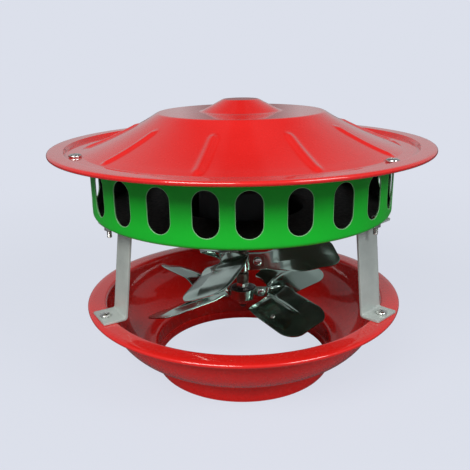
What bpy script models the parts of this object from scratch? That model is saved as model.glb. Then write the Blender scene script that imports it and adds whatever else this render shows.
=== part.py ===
# Chimney draught fan.
# A bowl-shaped base stands on the flue by its collar. Three straps carry a slotted
# motor pan over it, and a ribbed rain cap covers the pan. The motor's shaft hangs
# through the pan's floor with two fans on it, one above the other. Each fan is a pair
# of sheet strips clamped round the shaft, with their free ends twisted into blades:
# three on the upper fan and four on the lower one.
# Metres, +Z up. The origin is the centre of the collar's lower edge, and the front of
# the fan looks along -Y.

from math import atan2, cos, pi, radians, sin, sqrt, tau

import bmesh
import bpy
from mathutils import Matrix, Vector

# Sheet, seats and clearances
SHEET = 0.0012            # enamelled steel of the cap, the pan and the base
STRAP_SHEET = 0.0020      # galvanised strap
STRIP_SHEET = 0.0012      # fan blade strip
SEAT_GAP = 0.0003         # between two pieces that touch on the real fan
RUN_GAP = 0.0004          # round the turning shaft
OVERRUN = 0.0040          # how far a cutter passes the sheet that it cuts
MERGE = 0.00001

# Base: collar, bowl and flange in one pressing
COLLAR_RADIUS = 0.0990    # outside, for a 200 mm flue
COLLAR_HEIGHT = 0.0268    # up to the underside of the bowl
HEM_THICKNESS = 0.0030    # collar edge folded inwards
HEM_HEIGHT = 0.0100
COLLAR_FILLET = 0.0030
BOWL_RADIUS = 0.1507      # outside, at the mouth
BOWL_DEPTH = 0.0570       # from the flange's top to the bowl's lowest outside
FLANGE_WIDTH = 0.0193     # from the bowl's mouth out to the rolled edge
FLANGE_BEAD = 0.0022      # radius of the rolled edge
MOUTH_FILLET = 0.0024

# Straps
STRAP_AZIMUTHS = (-61.5, 61.5, 180.0)
STRAP_NAMES = ("left", "right", "back")
STRAP_WIDTH = 0.0335
STRAP_HEIGHT = 0.0968     # outside, over both feet
STRAP_BEND = 0.0025       # at the middle of the sheet
FOOT_SET_BACK = 0.0151    # from the lower screw in to the leg's inner face
TOP_SET_BACK = 0.0131     # from the upper bolt in to the leg's inner face, so the leg leans
FOOT_MARGIN = 0.0074      # foot past its screw
TOP_FOOT_MARGIN = 0.0054
FOOT_CORNER = 0.0040

# Slotted pan
PAN_RADIUS = 0.1560       # outside of the slotted band
PAN_DEPTH = 0.0621        # from the top of its flange to the underside of its floor
PAN_FLANGE_WIDTH = 0.0185
PAN_BOTTOM_FILLET = 0.0042
PAN_TOP_FILLET = 0.0026
CUP_RADIUS = 0.0660       # motor cup pressed down in the floor, outside
CUP_DEPTH = 0.0320
CUP_FILLET = 0.0060
CUP_MOUTH_FILLET = 0.0040
SHAFT_HOLE_RADIUS = 0.0110
SLOT_COUNT = 23
SLOT_PITCH = 15.76        # in degrees; the last pitch, left of the front, is what remains
SLOT_WIDTH = 0.0232
SLOT_HEIGHT = 0.0413
SLOT_DROP = 0.0107        # from the top of the pan's flange to the top of a slot
SLOT_START = 2.3          # azimuth of the first slot, in degrees

# Rain cap. Its radii are worked out from the pan's, below
CAP_RISE = 0.0473         # boss over the seat
BOSS_TOP_RADIUS = 0.0180
BOSS_FOOT_RADIUS = 0.0410
PLATEAU_RISE = 0.0354
PLATEAU_RADIUS = 0.0850
SEAT_MARGIN = 0.0070      # from the pan's band out to where the seat starts
SEAT_WIDTH = 0.0135       # flat ring that lies on the pan's flange
STEP_WIDTH = 0.0055       # step from the seat up to the brim
BRIM_RISE = 0.0034
BRIM_WIDTH = 0.0130       # from the step out to the rim
BRIM_ROLL = 0.0022        # radius of the rolled rim
ROLL_ANGLES = (70.0, 5.0, -60.0)
# The slope's fall between the plateau and the seat: share of the run, share of the drop
SLOPE_SHARES = ((0.03, 0.03), (0.11, 0.14), (0.28, 0.38), (0.48, 0.57), (0.68, 0.74), (0.88, 0.90))
RIB_COUNT = 10
RIB_START = -49.0         # azimuth of the first rib, in degrees
RIB_HEIGHT = 0.0042
RIB_HALF_WIDTH = 0.0115
RIB_ENDS_SHARES = (0.12, 0.32, 0.78, 0.97)   # of the slope's run: starts, full, full, ends
RIB_BUNCHING_SHARE = 0.75    # how strongly the columns gather at the ribs

# Motor
MOTOR_RADIUS = 0.0460
MOTOR_HEIGHT = 0.0560
MOTOR_FOOT_RADIUS = 0.0570
MOTOR_FOOT_THICKNESS = 0.0040
MOTOR_SHOULDER = 0.0060
MOTOR_BORE_DEPTH = 0.0300
COVER_HEIGHT = 0.0120
COVER_BOSS_RADIUS = 0.0140
COVER_BOSS_HEIGHT = 0.0050
MOTOR_SCREW_CIRCLE = 0.0515
BUSH_RADIUS = 0.0085
BUSH_LENGTH = 0.0160

# Shaft, sleeves and fans
SHAFT_RADIUS = 0.0040
UPPER_FAN_DROP = 0.0336   # from the underside of the cup to the middle of the upper ears
FAN_SPACING = 0.0366
SHAFT_TAIL = 0.0170       # shaft past the middle of the lower fan
UPPER_SLEEVE_RADIUS = 0.0055
UPPER_SLEEVE_LENGTH = 0.0260
DRUM_RADIUS = 0.0135
DRUM_LENGTH = 0.0125
SPACER_RADIUS = 0.0068
SHAFT_NUT_WIDTH = 0.0130
SHAFT_NUT_HEIGHT = 0.0060
SHAFT_CHAMFER = 0.0010
BLADE_TIP_RADIUS = 0.1065
BLADE_CHORD = 0.0525
UPPER_NECK = 0.0200       # height of the strip round the sleeve
LOWER_NECK = 0.0110
UPPER_PITCH = 21.4
LOWER_PITCH = 18.7
STRIP_FILLET = 0.0016
BLADE_BEND = 0.0045       # length of the bend from the ear into the blade
EAR_MARGIN = 0.0009       # strip left beside a clamp bolt's head
UPPER_EAR_ROOM = 0.0052   # from where the ear starts to the clamp bolt's head
LOWER_EAR_ROOM = 0.0009
TWIST_LENGTH = 0.0110
LIFT_LENGTH = 0.0200      # past the twist, where a blade rises or falls to its height
WIDEN_START = 0.0025
WIDEN_LENGTH = 0.0100
TIP_LENGTH = 0.0240
TIP_END_SHARE = 0.42      # chord left at the very tip
CREASE_DEPTH = 0.0026
CREASE_SHARE = -0.12      # place of the crease, in chords from the middle
WRAP_STEPS = 4
BEND_STEPS = 3
# Rows of a blade: shares of its widening and of its even stretch, angles of its round tip
WIDEN_SHARES = (0.2, 0.4, 0.6, 0.8, 1.0)
EVEN_SHARES = (0.2, 0.4, 0.7, 1.0)
TIP_ANGLES = (28.0, 50.0, 70.0, 90.0)
# The blades: front strip left and right, back strip left and right. A blade points to
# its azimuth. Its middle lies higher than its ear by a share of the chord, and is
# shifted along the chord by another share, because the blades are bent by hand.
# The right end of the upper front strip stops at its ear and has no blade.
UPPER_BLADES = (-14.6, None, -173.3, 103.6)
UPPER_LIFT_SHARES = (-0.07, 0.0, -0.07, 0.03)
UPPER_SHIFT_SHARES = (0.21, 0.0, -0.05, 0.03)
LOWER_BLADES = (-47.2, 29.6, -139.2, 135.4)
LOWER_LIFT_SHARES = (-0.06, -0.04, 0.12, 0.09)
LOWER_SHIFT_SHARES = (0.04, -0.12, 0.02, 0.06)

# Fasteners
BOLT_RADIUS = 0.0025
HEAD_RADIUS = 0.0047
HEAD_HEIGHT = 0.0030
HEAD_RINGS = (38.0, 68.0)    # degrees from the top of the dome
HEAD_FLATNESS = 0.8
NUT_WIDTH = 0.0080
NUT_HEIGHT = 0.0036
BOLT_TAIL = 0.0025        # thread past the nut
CLAMP_BOLT_RADIUS = 0.0020
CLAMP_HEAD_RADIUS = 0.0038
CLAMP_HEAD_HEIGHT = 0.0024
CLAMP_NUT_WIDTH = 0.0070
CLAMP_NUT_HEIGHT = 0.0030
CAP_BOLT_AZIMUTHS = (-69.0, 51.0, 171.0)
NUT_MARGIN = 0.0005       # between a nut and the bend beside it

# Facets
CAP_STEPS = 70
PAN_STEPS = 46
BASE_STEPS = 54
ROUND_STEPS = 24
BOWL_STEPS = 5
BEAD_ANGLES = (-50.0, 5.0, 60.0)
BOLT_STEPS = 8
HOLE_STEPS = 8
SLOT_STEPS = 12
SMOOTH_ANGLE = radians(35)

# Heights of the seats, from the collar's lower edge upwards
FLANGE_TOP = COLLAR_HEIGHT + BOWL_DEPTH
STRAP_BOTTOM = FLANGE_TOP + SEAT_GAP
STRAP_TOP = STRAP_BOTTOM + STRAP_HEIGHT
PAN_BOTTOM = STRAP_TOP + SEAT_GAP
PAN_TOP = PAN_BOTTOM + PAN_DEPTH
CAP_SEAT = PAN_TOP + SEAT_GAP + SHEET
CUP_BOTTOM = PAN_BOTTOM - CUP_DEPTH
MOTOR_BOTTOM = CUP_BOTTOM + SHEET + SEAT_GAP
UPPER_FAN_HEIGHT = CUP_BOTTOM - UPPER_FAN_DROP
LOWER_FAN_HEIGHT = UPPER_FAN_HEIGHT - FAN_SPACING
SHAFT_END = LOWER_FAN_HEIGHT - SHAFT_TAIL

# Radii that follow from the bowl and the pan
FLANGE_RADIUS = BOWL_RADIUS + FLANGE_WIDTH
PAN_FLANGE_RADIUS = PAN_RADIUS + PAN_FLANGE_WIDTH
SEAT_INNER_RADIUS = PAN_RADIUS + SEAT_MARGIN
SEAT_OUTER_RADIUS = SEAT_INNER_RADIUS + SEAT_WIDTH
CAP_RADIUS = SEAT_OUTER_RADIUS + STEP_WIDTH + BRIM_WIDTH

# Bolt circles, clear of the bends beside them
CAP_BOLT_CIRCLE = (SEAT_INNER_RADIUS + PAN_FLANGE_RADIUS) / 2
FOOT_SCREW_CIRCLE = BOWL_RADIUS + MOUTH_FILLET + NUT_MARGIN + NUT_WIDTH / 2
TOP_BOLT_CIRCLE = PAN_RADIUS - PAN_BOTTOM_FILLET - NUT_MARGIN - HEAD_RADIUS

# Finishes: colour, roughness and metallic value
FINISHES = {
    "red_enamel": ((0.62, 0.018, 0.014), 0.18, 0.0),
    "green_enamel": ((0.012, 0.42, 0.045), 0.32, 0.0),
    "galvanised": ((0.56, 0.57, 0.56), 0.42, 1.0),
    "blade_sheet": ((0.46, 0.50, 0.48), 0.30, 1.0),
    "zinc": ((0.78, 0.78, 0.76), 0.22, 1.0),
    "shaft_steel": ((0.30, 0.26, 0.23), 0.38, 1.0),
    "dark_steel": ((0.09, 0.085, 0.08), 0.42, 1.0),
    "motor_paint": ((0.05, 0.055, 0.06), 0.50, 0.0),
    "bronze": ((0.52, 0.36, 0.17), 0.40, 1.0),
}

for old in list(bpy.data.objects):
    bpy.data.objects.remove(old)

parts = bpy.data.collections.new("chimney_draught_fan")
cutters = bpy.data.collections.new("cutters")
bpy.context.scene.collection.children.link(parts)
bpy.context.scene.collection.children.link(cutters)


def finish_material(name, finish):
    """One Principled material for the named piece."""
    colour, roughness, metallic = FINISHES[finish]
    material = bpy.data.materials.new(f"{name}_{finish}")
    material.use_nodes = True
    shader = material.node_tree.nodes["Principled BSDF"]
    shader.inputs["Base Color"].default_value = (*colour, 1.0)
    shader.inputs["Roughness"].default_value = roughness
    shader.inputs["Metallic"].default_value = metallic
    return material


def add_part(name, mesh, finish, location=(0, 0, 0), rotation=(0, 0, 0), parent=None):
    """Put a mesh in the model as a named piece with a material of its own."""
    piece = bpy.data.objects.new(name, mesh)
    parts.objects.link(piece)
    piece.location = location
    piece.rotation_euler = rotation
    piece.parent = parent
    if not mesh.materials:
        mesh.materials.append(None)
    piece.material_slots[0].link = 'OBJECT'
    piece.material_slots[0].material = finish_material(name, finish)
    return piece


def shade_round(mesh):
    mesh.shade_smooth()
    mesh.set_sharp_from_angle(angle=SMOOTH_ANGLE)


def evaluated_copy(source):
    """The mesh that an object's modifiers make, with the object removed."""
    graph = bpy.context.evaluated_depsgraph_get()
    mesh = bpy.data.meshes.new_from_object(source.evaluated_get(graph))
    bpy.data.objects.remove(source)
    return mesh


def polar(radius, azimuth, height=0.0):
    """A point at an azimuth in degrees, 0 at the front and positive to the right."""
    angle = radians(azimuth)
    return Vector((radius * sin(angle), -radius * cos(angle), height))


def facing(azimuth):
    """Rotation about Z that turns a piece drawn along +X to an azimuth."""
    return radians(azimuth) - pi / 2


def filleted(corners, segments):
    """A profile with round corners, from (x, z, fillet radius) corners."""
    points = []
    for i, (x, z, radius) in enumerate(corners):
        here = Vector((x, z))
        if radius <= 0 or i == 0 or i == len(corners) - 1:
            if not points or (here - Vector(points[-1])).length > MERGE:
                points.append((x, z))
            continue
        into = (here - Vector(corners[i - 1][:2])).normalized()
        away = (Vector(corners[i + 1][:2]) - here).normalized()
        turn = into.angle(away)
        set_back = radius * abs(sin(turn / 2) / cos(turn / 2))
        start = here - into * set_back
        side = 1 if into.x * away.y - into.y * away.x > 0 else -1
        centre = start + Vector((-into.y, into.x)) * side * radius
        spoke = start - centre
        for k in range(segments + 1):
            point = centre + Matrix.Rotation(side * turn * k / segments, 2) @ spoke
            points.append((point.x, point.y))
    return points


def offset_profile(points, distance):
    """The profile moved sideways by a distance, to the left of its direction."""
    moved = []
    for i, point in enumerate(points):
        here = Vector(point)
        before = here - Vector(points[i - 1]) if i else Vector(points[1]) - here
        after = Vector(points[i + 1]) - here if i < len(points) - 1 else before
        normals = [Vector((-d.y, d.x)).normalized() for d in (before, after)]
        mitre = (normals[0] + normals[1]).normalized()
        moved.append(tuple(here + mitre * distance / mitre.dot(normals[0])))
    return moved


def turned_mesh(name, profile, steps, closed=False):
    """Turn a profile of (radius, height) points about the Z axis with a Screw modifier."""
    mesh = bpy.data.meshes.new(name)
    edges = [(i, i + 1) for i in range(len(profile) - 1)]
    if closed:
        edges.append((len(profile) - 1, 0))
    mesh.from_pydata([(r, 0, z) for r, z in profile], edges, [])
    lathe = bpy.data.objects.new(name, mesh)
    parts.objects.link(lathe)
    screw = lathe.modifiers.new("Turn", 'SCREW')
    screw.axis = 'Z'
    screw.angle = tau
    screw.steps = steps
    screw.render_steps = steps
    screw.use_merge_vertices = True
    screw.merge_threshold = MERGE
    turned = evaluated_copy(lathe)
    turned.name = name
    shade_round(turned)
    return turned


def thicken(piece, thickness, offset=-1.0):
    shell = piece.modifiers.new("Thickness", 'SOLIDIFY')
    shell.thickness = thickness
    shell.offset = offset
    shell.use_even_offset = True


def add_cutter(name, shapes):
    """One hidden cutter object from several closed shapes that don't touch."""
    mesh = bpy.data.meshes.new(name)
    shapes.to_mesh(mesh)
    shapes.free()
    cutter = bpy.data.objects.new(name, mesh)
    cutters.objects.link(cutter)
    cutter.hide_render = True
    cutter.display_type = 'WIRE'
    return cutter


def cut(piece, cutter):
    boolean = piece.modifiers.new(cutter.name, 'BOOLEAN')
    boolean.operation = 'DIFFERENCE'
    boolean.solver = 'EXACT'
    boolean.object = cutter


def upright_holes(name, places, radius, bottom, top):
    """Cutter of round upright holes at (x, y) places."""
    shapes = bmesh.new()
    for place in places:
        middle = Vector((place[0], place[1], (bottom + top) / 2))
        bmesh.ops.create_cone(shapes, cap_ends=True, segments=HOLE_STEPS, radius1=radius,
                              radius2=radius, depth=top - bottom, matrix=Matrix.Translation(middle))
    return add_cutter(name, shapes)


def pan_head_mesh(name, head_radius, head_height, radius, length):
    """Bolt with a domed head over the height 0 and its shank below."""
    profile = [(0, head_height)]
    for angle in HEAD_RINGS:
        profile.append((head_radius * sin(radians(angle)),
                        head_height * cos(radians(angle)) ** HEAD_FLATNESS))
    profile += [(head_radius, 0), (radius, 0), (radius, -length), (0, -length)]
    return turned_mesh(name, profile, BOLT_STEPS)


def hex_nut_mesh(name, width, height, bore_radius):
    """Hexagon nut that stands on the height 0, with its bore along Z."""
    shapes = bmesh.new()
    corner_radius = width / 2 / cos(pi / 6)
    bmesh.ops.create_cone(shapes, cap_ends=True, segments=6, radius1=corner_radius,
                          radius2=corner_radius, depth=height,
                          matrix=Matrix.Translation((0, 0, height / 2)))
    mesh = bpy.data.meshes.new(name)
    shapes.to_mesh(mesh)
    shapes.free()
    blank = bpy.data.objects.new(name, mesh)
    parts.objects.link(blank)
    bore = upright_holes(f"{name}_bore", [(0, 0)], bore_radius, -OVERRUN, height + OVERRUN)
    cut(blank, bore)
    nut = evaluated_copy(blank)
    bpy.data.objects.remove(bore)
    nut.name = name
    return nut


def bent_sheet(name, stations):
    """A sheet of rows of points, made from a grid whose vertices take their places."""
    rows = len(stations)
    across = len(stations[0])
    shapes = bmesh.new()
    bmesh.ops.create_grid(shapes, x_segments=rows - 1, y_segments=across - 1, size=1)
    for vertex in shapes.verts:
        row = round((vertex.co.x + 1) / 2 * (rows - 1))
        column = round((vertex.co.y + 1) / 2 * (across - 1))
        vertex.co = stations[row][column]
    mesh = bpy.data.meshes.new(name)
    shapes.to_mesh(mesh)
    shapes.free()
    shade_round(mesh)
    return mesh


# Base

def base_section():
    """Closed section of the base: outside from the rolled edge down, inside back up."""
    bead_centre = FLANGE_TOP - FLANGE_BEAD
    outside = []
    for angle in BEAD_ANGLES:
        direction = radians(angle)
        outside.append((FLANGE_RADIUS - FLANGE_BEAD + (FLANGE_BEAD - SHEET) * cos(direction),
                        bead_centre + (FLANGE_BEAD - SHEET) * sin(direction)))
    corners = [(FLANGE_RADIUS - FLANGE_BEAD, FLANGE_TOP - SHEET, 0),
               (BOWL_RADIUS, FLANGE_TOP - SHEET, MOUTH_FILLET),
               (BOWL_RADIUS, FLANGE_TOP - SHEET - MOUTH_FILLET, 0)]
    outside += filleted(corners, 1)
    bowl_foot = COLLAR_RADIUS + COLLAR_FILLET
    bowl_top = outside[-1][1]
    for k in range(1, BOWL_STEPS + 1):
        angle = k / BOWL_STEPS * pi / 2
        outside.append((bowl_foot + (BOWL_RADIUS - bowl_foot) * cos(angle),
                        bowl_top - (bowl_top - COLLAR_HEIGHT) * sin(angle)))
    outside.append((COLLAR_RADIUS + COLLAR_FILLET * (1 - sin(pi / 4)),
                    COLLAR_HEIGHT - COLLAR_FILLET * (1 - cos(pi / 4))))
    outside.append((COLLAR_RADIUS, COLLAR_HEIGHT - COLLAR_FILLET))
    inside = offset_profile(outside, -SHEET)
    hem_inside = COLLAR_RADIUS - HEM_THICKNESS
    wall_inside = COLLAR_RADIUS - SHEET
    foot = [(COLLAR_RADIUS, 0), (hem_inside, 0), (hem_inside, HEM_HEIGHT - SHEET / 2),
            (wall_inside, HEM_HEIGHT)]
    return outside + foot + inside[::-1]


def add_base():
    base = add_part("base_flange", turned_mesh("base_flange", base_section(), BASE_STEPS, closed=True),
                    "red_enamel")
    places = [polar(FOOT_SCREW_CIRCLE, azimuth) for azimuth in STRAP_AZIMUTHS]
    cut(base, upright_holes("foot_screw_holes", places, BOLT_RADIUS + SEAT_GAP,
                            FLANGE_TOP - SHEET - OVERRUN, FLANGE_TOP + OVERRUN))


# Straps

def strap_stations():
    """Rows across the strap from the end of its lower foot to the end of its upper foot."""
    foot_end = FOOT_SCREW_CIRCLE + FOOT_MARGIN
    top_end = TOP_BOLT_CIRCLE + TOP_FOOT_MARGIN
    low = STRAP_BOTTOM + STRAP_SHEET / 2
    high = STRAP_TOP - STRAP_SHEET / 2
    corners = [(foot_end, low, 0),
               (FOOT_SCREW_CIRCLE - FOOT_SET_BACK + STRAP_SHEET / 2, low, STRAP_BEND),
               (TOP_BOLT_CIRCLE - TOP_SET_BACK + STRAP_SHEET / 2, high, STRAP_BEND),
               (top_end, high, 0)]
    path = filleted(corners, 4)
    path.insert(1, (foot_end - FOOT_CORNER, low))
    path.insert(-1, (top_end - FOOT_CORNER, high))
    rows = []
    for i, (radius, height) in enumerate(path):
        at_end = i in (0, len(path) - 1)
        half = STRAP_WIDTH / 2 - (FOOT_CORNER if at_end else 0)
        rows.append([(radius, -half, height), (radius, half, height)])
    return rows


def add_straps():
    for strap_name, azimuth in zip(STRAP_NAMES, STRAP_AZIMUTHS):
        name = f"strap_{strap_name}"
        strap = add_part(name, bent_sheet(name, strap_stations()), "galvanised",
                         rotation=(0, 0, facing(azimuth)))
        thicken(strap, STRAP_SHEET, 0)
        for hole_name, circle, height in (("foot", FOOT_SCREW_CIRCLE, STRAP_BOTTOM),
                                          ("top", TOP_BOLT_CIRCLE, STRAP_TOP - STRAP_SHEET)):
            cut(strap, upright_holes(f"{name}_{hole_name}_hole", [polar(circle, azimuth)],
                                     BOLT_RADIUS + SEAT_GAP, height - OVERRUN,
                                     height + STRAP_SHEET + OVERRUN))


# Slotted pan

def pan_profile():
    """Outside of the pan, from its flange's edge down to the hole for the shaft."""
    band_middle = (PAN_TOP + PAN_BOTTOM) / 2
    top = filleted([(PAN_FLANGE_RADIUS, PAN_TOP - SHEET, 0),
                    (PAN_RADIUS, PAN_TOP - SHEET, PAN_TOP_FILLET),
                    (PAN_RADIUS, band_middle, 0)], 1)
    bottom = filleted([(PAN_RADIUS, band_middle, 0),
                       (PAN_RADIUS, PAN_BOTTOM, PAN_BOTTOM_FILLET),
                       (CUP_RADIUS, PAN_BOTTOM, CUP_MOUTH_FILLET),
                       (CUP_RADIUS, CUP_BOTTOM, CUP_FILLET),
                       (SHAFT_HOLE_RADIUS, CUP_BOTTOM, 0)], 2)
    return top[:-1] + bottom[1:]


def slot_cutter():
    """All the slots of the band as one cutter of round-ended prisms."""
    shapes = bmesh.new()
    slot_middle = PAN_TOP - SLOT_DROP - SLOT_HEIGHT / 2
    stretch = (SLOT_HEIGHT - SLOT_WIDTH) / 2
    for k in range(SLOT_COUNT):
        azimuth = SLOT_START + k * SLOT_PITCH
        made = bmesh.ops.create_cone(shapes, cap_ends=True, segments=SLOT_STEPS, radius1=SLOT_WIDTH / 2,
                                     radius2=SLOT_WIDTH / 2, depth=2 * OVERRUN + SHEET,
                                     matrix=Matrix.Rotation(pi / SLOT_STEPS, 4, 'Z'))
        for vertex in made["verts"]:
            vertex.co.x += stretch if vertex.co.x > 0 else -stretch
        place = Matrix.Translation(polar(PAN_RADIUS - SHEET / 2, azimuth, slot_middle))
        turn = Matrix.Rotation(facing(azimuth), 4, 'Z') @ Matrix.Rotation(pi / 2, 4, 'Y')
        bmesh.ops.transform(shapes, verts=made["verts"], matrix=place @ turn)
    return add_cutter("slots", shapes)


def add_pan():
    pan = add_part("slotted_pan", turned_mesh("slotted_pan", pan_profile(), PAN_STEPS), "green_enamel")
    thicken(pan, SHEET)
    cut(pan, slot_cutter())
    hole_radius = BOLT_RADIUS + SEAT_GAP
    cap_places = [polar(CAP_BOLT_CIRCLE, azimuth) for azimuth in CAP_BOLT_AZIMUTHS]
    cut(pan, upright_holes("pan_flange_holes", cap_places, hole_radius,
                           PAN_TOP - SHEET - OVERRUN, PAN_TOP + OVERRUN))
    strap_places = [polar(TOP_BOLT_CIRCLE, azimuth) for azimuth in STRAP_AZIMUTHS]
    cut(pan, upright_holes("pan_floor_holes", strap_places, hole_radius,
                           PAN_BOTTOM - OVERRUN, PAN_BOTTOM + SHEET + OVERRUN))
    motor_places = [polar(MOTOR_SCREW_CIRCLE, azimuth) for azimuth in STRAP_AZIMUTHS]
    cut(pan, upright_holes("motor_screw_holes", motor_places, hole_radius,
                           CUP_BOTTOM - OVERRUN, CUP_BOTTOM + SHEET + OVERRUN))


# Rain cap

def slope_point(run_share, drop_share):
    """Radius and height on the cap's slope, between the plateau and the seat."""
    return (PLATEAU_RADIUS + (SEAT_INNER_RADIUS - PLATEAU_RADIUS) * run_share,
            CAP_SEAT + PLATEAU_RISE * (1 - drop_share))


def cap_profile():
    """Top of the cap from its middle to the rolled rim."""
    profile = [(0, CAP_SEAT + CAP_RISE), (BOSS_TOP_RADIUS, CAP_SEAT + CAP_RISE),
               (BOSS_FOOT_RADIUS, CAP_SEAT + PLATEAU_RISE),
               (PLATEAU_RADIUS, CAP_SEAT + PLATEAU_RISE)]
    profile += [slope_point(*shares) for shares in SLOPE_SHARES]
    profile += [(SEAT_INNER_RADIUS, CAP_SEAT), (SEAT_OUTER_RADIUS, CAP_SEAT),
                (SEAT_OUTER_RADIUS + STEP_WIDTH, CAP_SEAT + BRIM_RISE)]
    roll_centre = (CAP_RADIUS - BRIM_ROLL, CAP_SEAT + BRIM_RISE - BRIM_ROLL)
    for angle in ROLL_ANGLES:
        direction = radians(angle)
        profile.append((roll_centre[0] + BRIM_ROLL * cos(direction),
                        roll_centre[1] + BRIM_ROLL * sin(direction)))
    return profile


def rib_rise(radius, offset):
    """How far a rib lifts the cap at a radius and a sideways distance from the rib's line."""
    run = (radius - PLATEAU_RADIUS) / (SEAT_INNER_RADIUS - PLATEAU_RADIUS)
    starts, full, full_to, ends = RIB_ENDS_SHARES
    if run <= starts or run >= ends or abs(offset) >= RIB_HALF_WIDTH:
        return 0.0
    along = min((run - starts) / (full - starts), 1.0, (ends - run) / (ends - full_to))
    across = (1 - (offset / RIB_HALF_WIDTH) ** 2) ** 2
    return RIB_HEIGHT * across * along


def press_ribs(mesh):
    """Gather the cap's columns at the ribs and press the ribs up."""
    pitch = tau / RIB_COUNT
    first = facing(RIB_START)
    for vertex in mesh.vertices:
        radius = sqrt(vertex.co.x ** 2 + vertex.co.y ** 2)
        if radius < MERGE:
            continue
        angle = atan2(vertex.co.y, vertex.co.x)
        gathered = angle - RIB_BUNCHING_SHARE / RIB_COUNT * sin(RIB_COUNT * angle)
        off_rib = (gathered + pitch / 2) % pitch - pitch / 2
        rise = rib_rise(radius, radius * sin(off_rib))
        vertex.co = (radius * cos(gathered + first), radius * sin(gathered + first), vertex.co.z + rise)
    shade_round(mesh)


def add_cap():
    mesh = turned_mesh("rain_cap", cap_profile(), CAP_STEPS)
    press_ribs(mesh)
    cap = add_part("rain_cap", mesh, "red_enamel")
    thicken(cap, SHEET)
    places = [polar(CAP_BOLT_CIRCLE, azimuth) for azimuth in CAP_BOLT_AZIMUTHS]
    cut(cap, upright_holes("cap_bolt_holes", places, BOLT_RADIUS + SEAT_GAP,
                           CAP_SEAT - SHEET - OVERRUN, CAP_SEAT + OVERRUN))


# Fasteners

def add_bolt_and_nut(bolt_name, nut_name, place, seat, grip, bolt_mesh, nut_mesh, turn=0.0):
    """A bolt with its head on the seat's height and its nut under the grip."""
    add_part(bolt_name, bolt_mesh, "zinc", (place.x, place.y, seat + SEAT_GAP), (0, 0, turn))
    add_part(nut_name, nut_mesh, "zinc", (place.x, place.y, seat - grip - SEAT_GAP - NUT_HEIGHT),
             (0, 0, turn))


def add_fasteners():
    """Cap bolts, foot screws, strap bolts and motor screws, each with its nut."""
    nut = hex_nut_mesh("nut", NUT_WIDTH, NUT_HEIGHT, BOLT_RADIUS + SEAT_GAP)
    grips = {"cap": 2 * SHEET + SEAT_GAP, "foot": SHEET + SEAT_GAP + STRAP_SHEET,
             "strap": SHEET + SEAT_GAP + STRAP_SHEET, "motor": MOTOR_FOOT_THICKNESS + SEAT_GAP + SHEET}
    meshes = {}
    for name, grip in grips.items():
        length = grip + 2 * SEAT_GAP + NUT_HEIGHT + BOLT_TAIL
        meshes[name] = pan_head_mesh(f"{name}_bolt", HEAD_RADIUS, HEAD_HEIGHT, BOLT_RADIUS, length)
    for i, azimuth in enumerate(CAP_BOLT_AZIMUTHS, 1):
        add_bolt_and_nut(f"cap_bolt_{i}", f"cap_nut_{i}", polar(CAP_BOLT_CIRCLE, azimuth),
                         CAP_SEAT, grips["cap"], meshes["cap"], nut, facing(azimuth))
    # A flat of each nut faces the axis, so that it clears the bend beside it
    for i, azimuth in enumerate(STRAP_AZIMUTHS, 1):
        turn = facing(azimuth) + pi / 6
        add_bolt_and_nut(f"foot_screw_{i}", f"foot_nut_{i}", polar(FOOT_SCREW_CIRCLE, azimuth),
                         STRAP_BOTTOM + STRAP_SHEET, grips["foot"], meshes["foot"], nut, turn)
        add_bolt_and_nut(f"strap_bolt_{i}", f"strap_nut_{i}", polar(TOP_BOLT_CIRCLE, azimuth),
                         PAN_BOTTOM + SHEET, grips["strap"], meshes["strap"], nut, turn)
        add_bolt_and_nut(f"motor_screw_{i}", f"motor_nut_{i}", polar(MOTOR_SCREW_CIRCLE, azimuth),
                         MOTOR_BOTTOM + MOTOR_FOOT_THICKNESS, grips["motor"], meshes["motor"], nut, turn)


# Motor

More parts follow.
